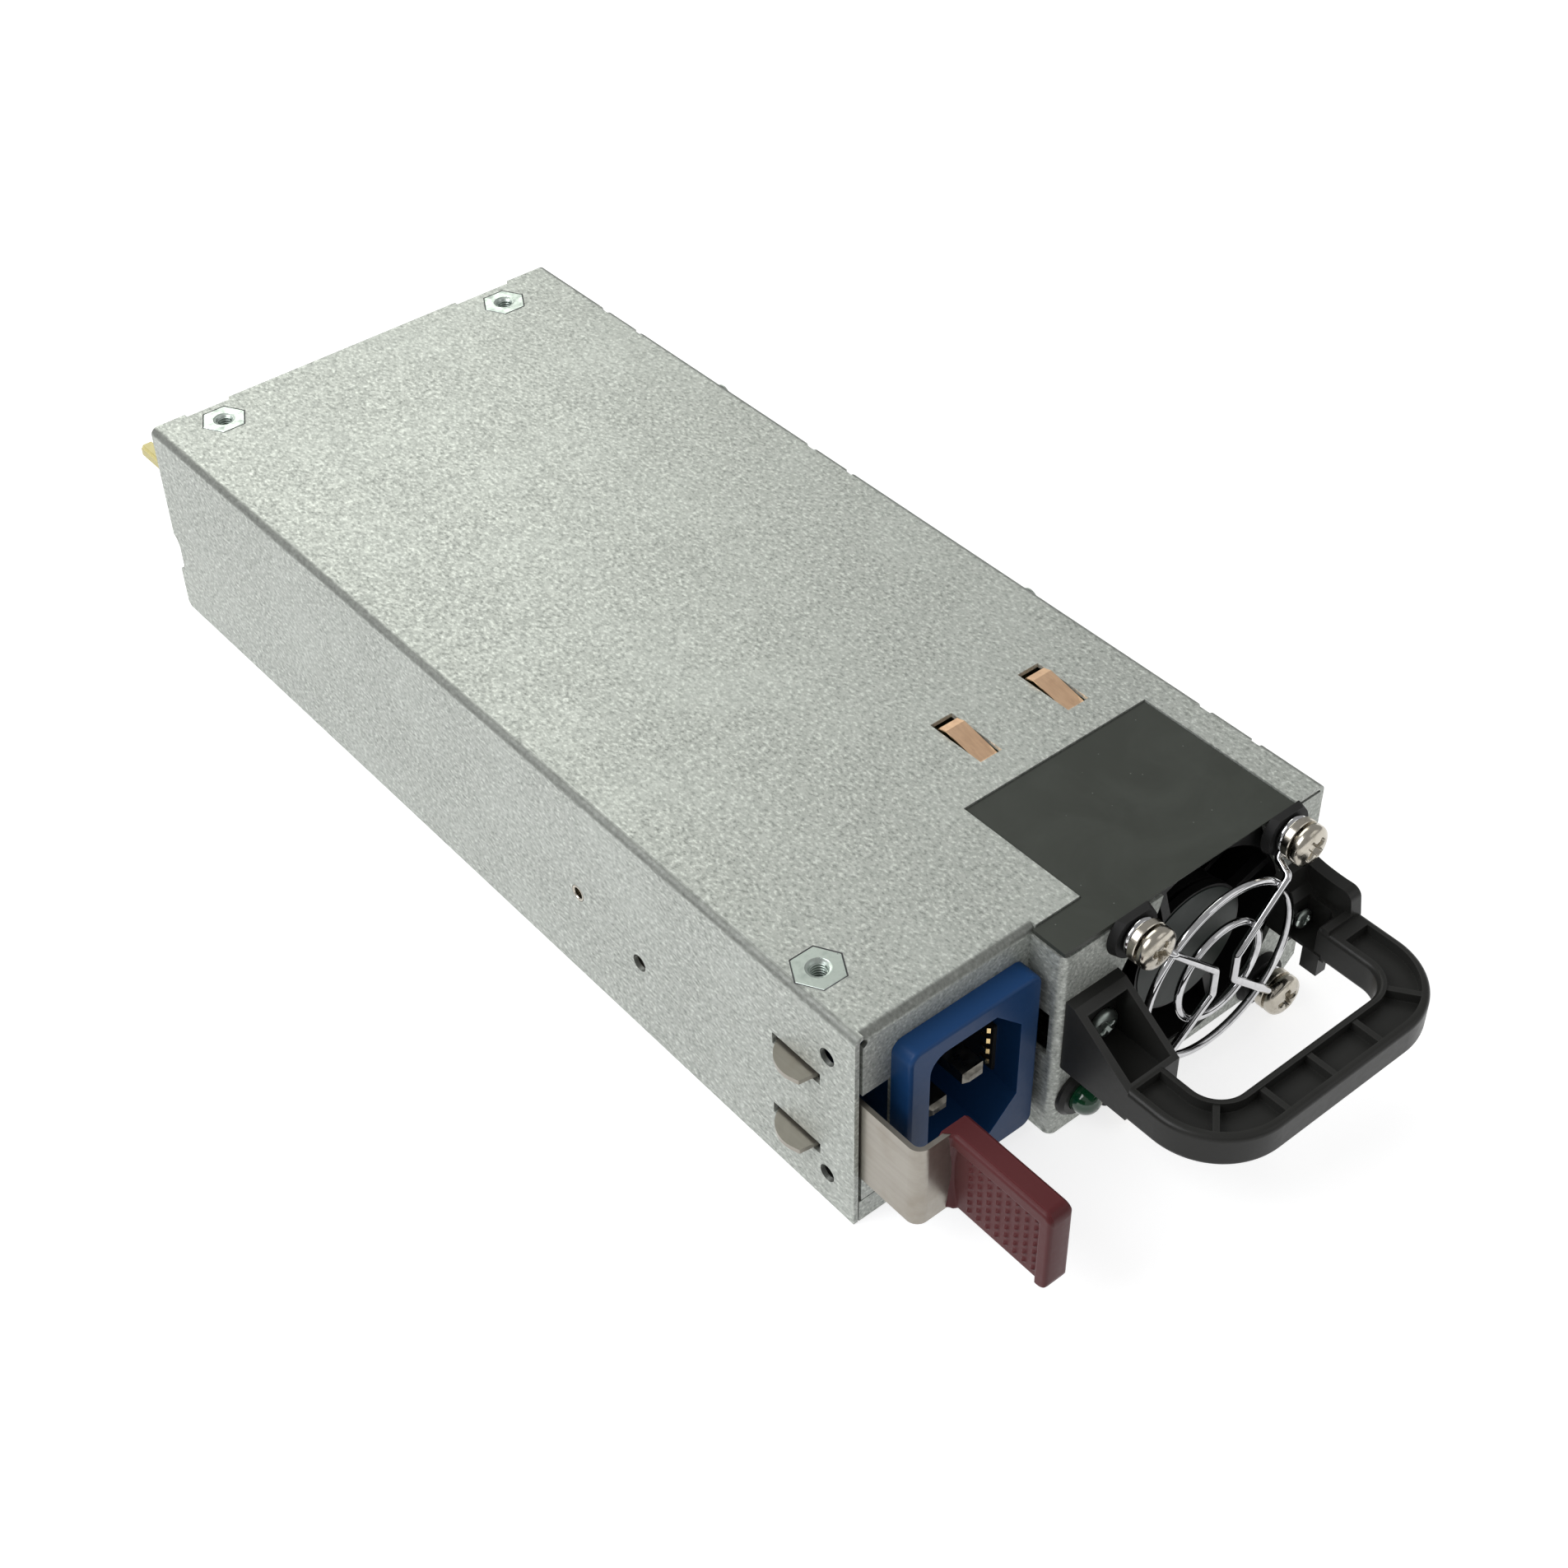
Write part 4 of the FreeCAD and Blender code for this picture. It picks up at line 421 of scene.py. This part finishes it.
def make_materials():
    """One finish for each material slot, and a darkened nickel that paints shade on the inlet's blades."""
    return {
        "casing_steel": casing_steel(),
        "spring_steel": spring_steel(),
        "nickel": plated("nickel", (0.50, 0.465, 0.40), 0.20, (0.25, 0.225, 0.18)),
        # Nickel darkened to paint the shade of the inlet's socket onto its blades.
        "shade_darkened_nickel": plated("shade_darkened_nickel", (0.20, 0.19, 0.165), 0.33, (0.10, 0.09, 0.075)),
        "zinc": plated("zinc", (0.52, 0.58, 0.54), 0.36, (0.36, 0.41, 0.38)),
        "wire_chrome": plated("wire_chrome", (0.60, 0.60, 0.61), 0.06, (0.40, 0.40, 0.41)),
        "copper": copper_leaf(),
        "gold": plated("gold", (0.83, 0.62, 0.30), 0.2, (0.66, 0.45, 0.2)),
        "black_plastic": moulded("black_plastic", (0.0200, 0.0200, 0.0185), 0.34, specular=0.22),
        "film_black": black_film(),
        "inlet_blue": moulded("inlet_blue", (0.010, 0.052, 0.160), 0.36, light=1.2, specular=0.2),
        "tab_red": moulded("tab_red", (0.088, 0.016, 0.018), 0.42, light=1.2, specular=0.22),
        "rotor_black": moulded("rotor_black", (0.007, 0.007, 0.007), 0.36),
        "label_dark": moulded("label_dark", (0.010, 0.018, 0.014), 0.33, grain=300.0),
        "rubber_black": moulded("rubber_black", (0.008, 0.008, 0.008), 0.6, grain=1500.0),
        "lens_green": lens_plastic(),
        "board_pale": laminate("board_pale", (0.62, 0.55, 0.24), (0.50, 0.43, 0.16)),
        "board_green": laminate("board_green", (0.02, 0.13, 0.05), (0.03, 0.19, 0.08)),
        "heatsink_aluminium": aluminium(),
        "package_black": moulded("package_black", (0.018, 0.018, 0.018), 0.5, grain=1800.0),
        "capacitor_sleeve": moulded("capacitor_sleeve", (0.015, 0.02, 0.05), 0.28),
        "film_yellow": moulded("film_yellow", (0.55, 0.40, 0.07), 0.35, light=1.15),
        "ferrite": moulded("ferrite", (0.05, 0.05, 0.052), 0.55, grain=700.0),
        "winding_copper": winding("winding_copper", (0.50, 0.19, 0.07), 320.0),
        "tape_yellow": winding("tape_yellow", (0.62, 0.48, 0.10), 60.0),
        "ceramic": moulded("ceramic", (0.70, 0.68, 0.62), 0.25, light=1.05),
        "lead_black": moulded("lead_black", (0.02, 0.02, 0.02), 0.5),
        "lead_earth": moulded("lead_earth", (0.08, 0.30, 0.06), 0.5),
        "stator_steel": plated("stator_steel", (0.40, 0.38, 0.36), 0.4, (0.3, 0.26, 0.22)),
    }


def dress(materials):
    """Gives every CAD node the finish of its slot."""
    for name, item in NODES.items():
        item.data.materials.clear()
        item.data.materials.append(materials[SLOTS[name]])


# ---------------------------------------------------------------- fine pieces

def box_mm(node):
    """Lowest and highest corners of a CAD node, in millimetres."""
    low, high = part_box(node)
    return Vector(low) / MM, Vector(high) / MM


def middle(low, high):
    """Middle of a box."""
    return (low + high) / 2


WIRE_MM = 1.3
FAN_X, _, FAN_Z = middle(*box_mm("fan_frame"))
EYE_Y, RING_Y = -101.05, -103.4
HALF_HOLE_PITCH = 16.0
EYE_RADIUS = 2.6
RING_RADII = (15.45, 8.55)
LEG_DROP = 0.96 * WIRE_MM
LEG_SLOPE = 1.3
BLUNT_X, BLUNT_Z = 2.0, 2.6

NUT_PLATE, NUT_BARREL, NUT_BORE = 0.8, 2.7, 1.25
NUT_SEAT_GAP = 0.02
THREAD_PITCH, THREAD_TURNS = 0.5, 7

TAB_LIP, TAB_LIP_LENGTH = 1.45, 2.0
WELL_DEPTH = 0.75
STUD_ACROSS, STUD_DOWN = 1.80, 1.72
STUD_HEIGHT, STUD_RADIUS = 0.48, 0.52

LIVE_TIP_Y, EARTH_TIP_Y = -91.5, -94.5
SOCKET_WALL_X = -15.45
CONTACT_TOP_Z, CONTACT_PITCH, CONTACT_HALF = 20.6, 2.2, 0.5


def loose_boxes(node):
    """Boxes in millimetres of a CAD node's separate solids."""
    mesh = NODES[node].data
    leader = list(range(len(mesh.vertices)))

    def find(i):
        while leader[i] != i:
            leader[i] = leader[leader[i]]
            i = leader[i]
        return i

    spots = {}
    for vertex in mesh.vertices:
        spot = tuple(round(c / 1e-6) for c in vertex.co)
        leader[find(vertex.index)] = find(spots.setdefault(spot, vertex.index))
    for edge in mesh.edges:
        leader[find(edge.vertices[0])] = find(edge.vertices[1])
    groups = {}
    for vertex in mesh.vertices:
        groups.setdefault(find(vertex.index), []).append(vertex.co / MM)
    boxes = []
    for points in groups.values():
        low = Vector(tuple(min(p[k] for p in points) for k in range(3)))
        high = Vector(tuple(max(p[k] for p in points) for k in range(3)))
        boxes.append((low, high))
    return sorted(boxes, key=lambda box: tuple(round(c, 2) for c in box[0]))


def body_of(node):
    """The body that carries a CAD node."""
    bodies = frame["record"]["behaviour"]["bodies"]
    return next(name for name, members in bodies.items() if node in members)


def settle(item, body, slot, *nodes, finish=None):
    """Hangs a piece on its body, gives it its finish and hides the CAD nodes it stands for."""
    item.data.materials.append(MATERIALS[finish or slot])
    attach(item, body)
    if nodes:
        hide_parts(*nodes)


def mesh_piece(name, bm, sharp=35.0):
    """An object from a mesh in millimetres, smooth up to a sharp angle in degrees."""
    bmesh.ops.recalc_face_normals(bm, faces=bm.faces)
    bmesh.ops.scale(bm, vec=(MM, MM, MM), verts=bm.verts)
    mesh = bpy.data.meshes.new(name)
    bm.to_mesh(mesh)
    bm.free()
    for face in mesh.polygons:
        face.use_smooth = True
    mesh.set_sharp_from_angle(angle=math.radians(sharp))
    item = bpy.data.objects.new(name, mesh)
    bpy.context.scene.collection.objects.link(item)
    return item


def wire_piece(name, paths, radius):
    """Round wire along paths of points in millimetres; a path is (points, closed)."""
    curve = bpy.data.curves.new(name, "CURVE")
    curve.dimensions = "3D"
    curve.bevel_depth = radius * MM
    curve.bevel_resolution = 5
    curve.use_fill_caps = True
    for points, closed in paths:
        spline = curve.splines.new("POLY")
        spline.points.add(len(points) - 1)
        for point, place in zip(spline.points, points):
            point.co = (place[0] * MM, place[1] * MM, place[2] * MM, 1.0)
        spline.use_cyclic_u = closed
        spline.use_smooth = True
    item = bpy.data.objects.new(name, curve)
    bpy.context.scene.collection.objects.link(item)
    return item


def circle(x, y, z, radius, steps):
    """Points of a circle that faces the front."""
    turns = [2 * math.pi * k / steps for k in range(steps)]
    return [(x + radius * math.cos(a), y, z + radius * math.sin(a)) for a in turns]


def rounded(points, radius, steps=7):
    """The same path with each inner corner turned into an arc."""
    most = 0.48
    points = [Vector(p) for p in points]
    out = [points[0]]
    for before, corner, after in zip(points, points[1:], points[2:]):
        back = (before - corner).normalized()
        ahead = (after - corner).normalized()
        half = back.angle(ahead) / 2
        reach = min(
            radius / math.tan(half), most * (before - corner).length, most * (after - corner).length)
        start, end = corner + back * reach, corner + ahead * reach
        centre = corner + (back + ahead).normalized() * (reach / math.cos(half))
        first, last = start - centre, end - centre
        for k in range(steps + 1):
            out.append(centre + first.slerp(last, k / steps))
    out.append(points[-1])
    return out


def facing(axis):
    """Turns the Z axis to a direction."""
    return Vector(axis).to_track_quat("Z", "X").to_matrix()


def turned_ring(bm, turn, place, radius, steps, height):
    """A ring about an axis, or one point where its radius is nil; height is a number or f(x, y)."""
    ring = []
    for k in range(steps if radius > 1e-6 else 1):
        a = 2 * math.pi * k / steps
        x, y = radius * math.cos(a), radius * math.sin(a)
        z = height(x, y) if callable(height) else height
        ring.append(bm.verts.new(turn @ Vector((x, y, z)) + Vector(place)))
    return ring


def lathe(bm, profile, place, axis, steps=56):
    """Turns a profile of (radius, height) pairs round an axis and adds it to the mesh."""
    turn = facing(axis)
    skin(bm, [turned_ring(bm, turn, place, r, steps, h) for r, h in profile], steps)


def skin(bm, rings, steps):
    """Joins each ring to the next by faces; a ring of one point closes to it."""
    for lower, upper in zip(rings, rings[1:]):
        for k in range(steps):
            n = (k + 1) % steps
            corners = [lower[k % len(lower)], lower[n % len(lower)],
                       upper[n % len(upper)], upper[k % len(upper)]]
            corners = list(dict.fromkeys(corners))
            if len(corners) > 2:
                bm.faces.new(corners)


def clamp(value):
    return min(1.0, max(0.0, value))


def ease(value):
    """Nil to one with a soft start and end."""
    value = clamp(value)
    return value * value * (3 - 2 * value)


# ---------------------------------------------------------------- screws, washers and nuts

def cross_depth(x, y, radius):
    """Depth of a cross recess at a point of a screw head: two crossed slots and a cone."""
    reach, width = 0.60 * radius, 0.145 * radius
    slot_depth, cone_depth, cone_radius = 0.30, 0.12, 0.42 * radius
    slots = 0.0
    for along, across in ((abs(x), abs(y)), (abs(y), abs(x))):
        inside = clamp((width * 1.25 - across) / (width * 0.35))
        ends = clamp((reach - along) / (reach * 0.30))
        slots = max(slots, inside * ends)
    cone = max(0.0, 1.0 - math.hypot(x, y) / cone_radius)
    return radius * (slot_depth * slots + cone_depth * cone)


def screw_head(bm, place, axis, radius, height, turn_deg, steps=96):
    """Pan head with a domed top and a cross recess."""
    rows, dome_power, edge = 34, 2.6, 0.15
    side = height * 0.42
    turn = facing(axis) @ Matrix.Rotation(math.radians(turn_deg), 3, "Z")
    rings = []
    for row in range(rows + 1):
        share = row / rows
        dome = side + (height - side) * math.sqrt(max(0.0, 1.0 - share ** dome_power))

        def sunk(x, y):
            return dome - cross_depth(x, y, radius)

        rings.append(turned_ring(bm, turn, place, radius * share, steps, sunk))
    for r, h in ((radius, edge), (radius - edge, 0.0), (0.0, 0.0)):
        rings.append(turned_ring(bm, turn, place, r, steps, h))
    skin(bm, rings, steps)


def front_screws(name, node, share, slot, turns):
    """Cross head screws in place of a node's plain ones, heads to the front."""
    bm = bmesh.new()
    for (low, high), turn in zip(loose_boxes(node), turns):
        radius = (high.x - low.x) / 2
        head = radius * share
        seat = ((low.x + high.x) / 2, low.y + head, (low.z + high.z) / 2)
        screw_head(bm, seat, (0, -1, 0), radius, head, turn)
        shank, length = radius * 0.46, high.y - low.y - head
        lathe(bm, [(0.0, 0.0), (shank, 0.0), (shank, length), (0.0, length)], seat, (0, 1, 0), 32)
    settle(mesh_piece(name, bm, 50.0), "chassis", slot, node)


def washers():
    """Plain washers with broken edges under the fan's screws."""
    bore, edge = 1.8, 0.12
    bm = bmesh.new()
    for low, high in loose_boxes("fan_washers"):
        radius, thick = (high.x - low.x) / 2, high.y - low.y
        profile = [
            (bore, 0.0), (radius - edge, 0.0), (radius, edge), (radius, thick - edge),
            (radius - edge, thick), (bore, thick), (bore, 0.0)]
        lathe(bm, profile, ((low.x + high.x) / 2, low.y, (low.z + high.z) / 2), (0, 1, 0))
    settle(mesh_piece("guard_washers", bm), "chassis", "nickel", "fan_washers")


def ring_at(bm, x, y, z, radius, sides, steps=72):
    """A level ring: a circle, or a polygon with a corner along X where sides are given."""
    ring = []
    for k in range(steps):
        a = 2 * math.pi * k / steps
        reach = radius
        if sides:
            within = a % (2 * math.pi / sides) - math.pi / sides
            reach = radius * math.cos(math.pi / sides) / math.cos(within)
        ring.append(bm.verts.new((x + reach * math.cos(a), y + reach * math.sin(a), z)))
    return ring


def thread(x, y, top):
    """Helix of a nut's thread, downwards from its countersink."""
    pieces, radius, first = 26, NUT_BORE + 0.05, top - 0.55
    helix = []
    for k in range(THREAD_TURNS * pieces + 1):
        a = 2 * math.pi * k / pieces
        helix.append((x + radius * math.cos(a), y + radius * math.sin(a),
                      first - THREAD_PITCH * k / pieces))
    return helix


def clinch_nuts():
    """Three clinch nuts: a hexagonal plate flush in the sheet, a countersunk bore and a barrel."""
    bm = bmesh.new()
    threads, seams = [], []
    for low, high in loose_boxes("clinch_standoffs"):
        x, y, top = (low.x + high.x) / 2, (low.y + high.y) / 2, high.z
        hexagon = (high.x - low.x) / 2
        plate, under, bore = hexagon - NUT_SEAT_GAP, top - NUT_PLATE, NUT_BORE + 0.08
        steps = (
            (NUT_BARREL, low.z, 0), (NUT_BARREL, under, 0), (plate, under, 6),
            (plate, top - 0.14, 6), (hexagon - 0.22, top, 6), (1.95, top, 0),
            (1.80, top - 0.10, 0), (1.55, top - 0.16, 0), (bore, top - 0.45, 0),
            (bore, top - 4.4, 0), (0.02, top - 4.7, 0))
        rings = [ring_at(bm, x, y, z, r, sides) for r, z, sides in steps]
        skin(bm, rings, len(rings[0]))
        bm.faces.new(rings[0])
        bm.faces.new(rings[-1])
        threads.append((thread(x, y, top), False))
        corners = [k * math.pi / 3 for k in range(6)]
        loop = [(x + hexagon * math.cos(a), y + hexagon * math.sin(a), top - 0.05) for a in corners]
        seams.append((loop, True))
    settle(mesh_piece("clinch_nuts", bm, 30.0), "chassis", "zinc", "clinch_standoffs")
    settle(wire_piece("nut_threads", threads, 0.15), "chassis", "zinc")
    settle(wire_piece("nut_seams", seams, 0.08), "chassis", "ferrite")


# ---------------------------------------------------------------- the fan's guard

def guard():
    """Fan guard bent from round wire: two rings, four eyes and two legs bent to a blunt point."""
    paths = [(circle(FAN_X, RING_Y, FAN_Z, r, 96), True) for r in RING_RADII]
    for sx in (-1, 1):
        for sz in (-1, 1):
            x, z = FAN_X + sx * HALF_HOLE_PITCH, FAN_Z + sz * HALF_HOLE_PITCH
            paths.append((circle(x, EYE_Y, z, EYE_RADIUS, 40), True))
    eye = HALF_HOLE_PITCH - 0.72 * EYE_RADIUS
    end, bend, foot = eye + 0.2, eye - LEG_SLOPE, eye - LEG_SLOPE - 0.3
    leg_y = RING_Y - LEG_DROP
    for side in (-1, 1):
        run = [
            (end, EYE_Y, end), (bend, EYE_Y, bend), (foot, leg_y, foot), (BLUNT_X, leg_y, BLUNT_Z),
            (BLUNT_X, leg_y, -BLUNT_Z), (foot, leg_y, -foot), (bend, EYE_Y, -bend), (end, EYE_Y, -end)]
        placed = [(FAN_X + side * x, y, FAN_Z + z) for x, y, z in run]
        paths.append((rounded(placed, 1.3), False))
    settle(wire_piece("guard_wires", paths, WIRE_MM / 2), "chassis", "wire_chrome", "fan_guard")


# ---------------------------------------------------------------- the latch

def tab_relief(from_rear, from_front, from_top, height_up):
    """How far the tab's grip face stands out (+) or in (-) at a point, in millimetres."""
    lip = TAB_LIP * ease(1.0 - from_rear / TAB_LIP_LENGTH)
    inside = ease((from_rear - 1.9) / 0.6) * ease((from_front - 2.0) / 0.5)
    well = WELL_DEPTH * inside * ease((from_top - 2.2) / 0.5)
    stud = 0.0
    if well > 0.6 and height_up > 0.9:
        across = (from_front - 3.1) / STUD_ACROSS
        down = (from_top - 3.4) / STUD_DOWN
        if -0.4 < across < 7.4 and -0.4 < down < 6.4:
            aside = (across - round(across)) * STUD_ACROSS
            away = math.hypot(aside, (down - round(down)) * STUD_DOWN)
            stud = STUD_HEIGHT * ease(1.0 - away / STUD_RADIUS)
    return lip - well + stud


def arc_drop(gap, radius):
    """How far an edge rounded by a radius has fallen at a gap from its end."""
    return radius - math.sqrt(max(0.0, radius ** 2 - (radius - gap) ** 2))


def grip_tab():
    """Finger tab: a rim round a sunk face with rows of small studs, and a lip that curls outwards."""
    low, high = box_mm("latch_tab")
    columns, rows, corner, edge = 132, 112, 1.7, 0.7
    cover, bulge, curve = 0.08, 0.5, 1.1
    centre_z, half = (low.z + high.z) / 2, (high.z - low.z) / 2 + cover
    bm = bmesh.new()
    faces = []
    for gripped in (True, False):
        grid = []
        for i in range(columns + 1):
            line = []
            for j in range(rows + 1):
                z = low.z + 2 * half * j / rows
                rear = high.y + bulge - curve * ((z - centre_z) / half) ** 2
                y = rear + (low.y - rear) * i / columns
                drop = arc_drop(min(y - low.y, corner), corner)
                z = centre_z + (z - centre_z) * (half - drop) / half
                from_rear, from_front = rear - y, y - low.y
                from_top, height_up = high.z - z, z - low.z
                rim = min(from_rear, from_front, from_top - drop, height_up - drop, edge)
                x = high.x - arc_drop(max(0.0, rim), edge)
                if gripped:
                    out = tab_relief(from_rear, from_front, from_top, height_up)
                    x = low.x + arc_drop(max(0.0, rim), edge) - out
                line.append(bm.verts.new((x, y, z)))
            grid.append(line)
        for i in range(columns):
            for j in range(rows):
                bm.faces.new((grid[i][j], grid[i + 1][j], grid[i + 1][j + 1], grid[i][j + 1]))
        faces.append(grid)
    near, far = faces
    border = [(i, 0) for i in range(columns)] + [(columns, j) for j in range(rows)]
    border += [(i, rows) for i in range(columns, 0, -1)] + [(0, j) for j in range(rows, 0, -1)]
    for (i, j), (k, n) in zip(border, border[1:] + border[:1]):
        bm.faces.new((near[i][j], near[k][n], far[k][n], far[i][j]))
    settle(mesh_piece("grip_tab", bm, 60.0), body_of("latch_tab"), "tab_red", "latch_tab")


def hollow_rivet():
    """Tubular rivet of the latch arm, whose open end shows as a hole in the wall."""
    low, high = box_mm("latch_rivet")
    length = high.x - low.x
    hole, tube, head = 1.0, 1.4, 2.6
    profile = [
        (0.0, 1.9), (hole, 1.9), (hole, 0.16), (1.12, 0.0), (tube, 0.0), (tube, length - 0.9),
        (head, length - 0.9), (head, length - 0.5), (1.8, length), (0.0, length)]
    bm = bmesh.new()
    lathe(bm, profile, (low.x, (low.y + high.y) / 2, (low.z + high.z) / 2), (1, 0, 0))
    settle(mesh_piece("latch_rivet_tube", bm), body_of("latch_rivet"), "nickel", "latch_rivet")


# ---------------------------------------------------------------- the inlet and the board

def card_corner():
    """The corner of the board's tongue that just shows past the casing's rear."""
    centre, size = Vector((-40.9, 104.0, 29.8)), Vector((2.6, 8.0, 2.4))
    bm = bmesh.new()
    bmesh.ops.create_cube(bm, size=1.0)
    for vertex in bm.verts:
        vertex.co = centre + size * vertex.co
    bmesh.ops.bevel(bm, geom=list(bm.edges), offset=0.45, segments=3, affect="EDGES")
    settle(mesh_piece("card_corner", bm), "chassis", "board_pale")


def closed_prism(bm, rings):
    """Four-sided rings joined and closed at both ends."""
    bm.faces.new(rings[0])
    skin(bm, rings, 4)
    bm.faces.new(rings[-1])


def blade(bm, x, z, tip_y, end_y, half=(2.0, 1.0), chamfer=0.7):
    """One flat contact blade with a nose chamfered on all four sides."""
    a, b = half
    sections = [(tip_y, a - chamfer, b - chamfer * 0.7), (tip_y + chamfer, a, b), (end_y, a, b)]
    rings = []
    for y, w, h in sections:
        spots = ((-w, -h), (w, -h), (w, h), (-w, h))
        rings.append([bm.verts.new((x + dx, y, z + dz)) for dx, dz in spots])
    closed_prism(bm, rings)


def inlet_blades():
    """Line and neutral blades stand deeper than the earth blade."""
    low, high = box_mm("inlet_pins")
    across, down = 2.0, 1.0
    bm = bmesh.new()
    blade(bm, low.x + across, high.z - down, LIVE_TIP_Y, high.y)
    blade(bm, low.x + across, low.z + down, LIVE_TIP_Y, high.y)
    blade(bm, high.x - across, (low.z + high.z) / 2, EARTH_TIP_Y, high.y)
    # The blades take the darkened nickel: painted shade for their place deep in the socket.
    settle(mesh_piece("inlet_blades", bm, 20.0), "chassis", "nickel", "inlet_pins", finish="shade_darkened_nickel")


def signal_contacts():
    """Four small gilt contacts on an insert in the socket's right wall."""
    bm = bmesh.new()
    profile = [(-90.9, -0.05), (-90.5, -0.42), (-89.4, -0.42), (-89.0, -0.05)]
    for k in range(4):
        z = CONTACT_TOP_Z - CONTACT_PITCH * k
        rings = []
        for dz in (-CONTACT_HALF, CONTACT_HALF):
            ring = [bm.verts.new((SOCKET_WALL_X - 0.5 + dx, y, z + dz)) for y, dx in profile]
            rings.append(ring)
        closed_prism(bm, rings)
    settle(mesh_piece("signal_contacts", bm, 20.0), "chassis", "gold", "inlet_contacts")


def contact_insert():
    """The black insert behind the signal contacts."""
    spots = ((-91.6, 12.6), (-84.5, 12.6), (-84.5, 22.0), (-91.6, 22.0))
    bm = bmesh.new()
    closed_prism(bm, [[bm.verts.new((SOCKET_WALL_X + dx, y, z)) for y, z in spots] for dx in (0.2, -0.55)])
    bmesh.ops.bevel(bm, geom=list(bm.edges), offset=0.12, segments=2, affect="EDGES")
    settle(mesh_piece("contact_insert", bm), "chassis", "black_plastic")


# ---------------------------------------------------------------- the scene

bpy.context.scene.view_settings.view_transform = "Standard"
make_camera()
make_world()
make_floor()
area_light("key", (-0.80, 0.25, 0.80), (0, 0, 0), (0.8, 0.8), 8.8, (0.97, 0.98, 1.0))
area_light("back", (0.15, 0.90, 0.75), (0, 0.05, 0), (0.9, 0.5), 4.4, (0.98, 1.0, 0.93))
area_light("fill", (0.55, -0.85, 0.60), (0, -0.05, 0), (0.7, 0.7), 1.1)
MATERIALS = make_materials()
dress(MATERIALS)
guard()
front_screws("guard_screws", "fan_screws", 0.62, "nickel", (20.0, 65.0, 10.0, 40.0))
front_screws("grip_screws", "handle_screws", 0.6, "zinc", (30.0, 70.0))
washers()
clinch_nuts()
grip_tab()
card_corner()
hollow_rivet()
inlet_blades()
signal_contacts()
contact_insert()
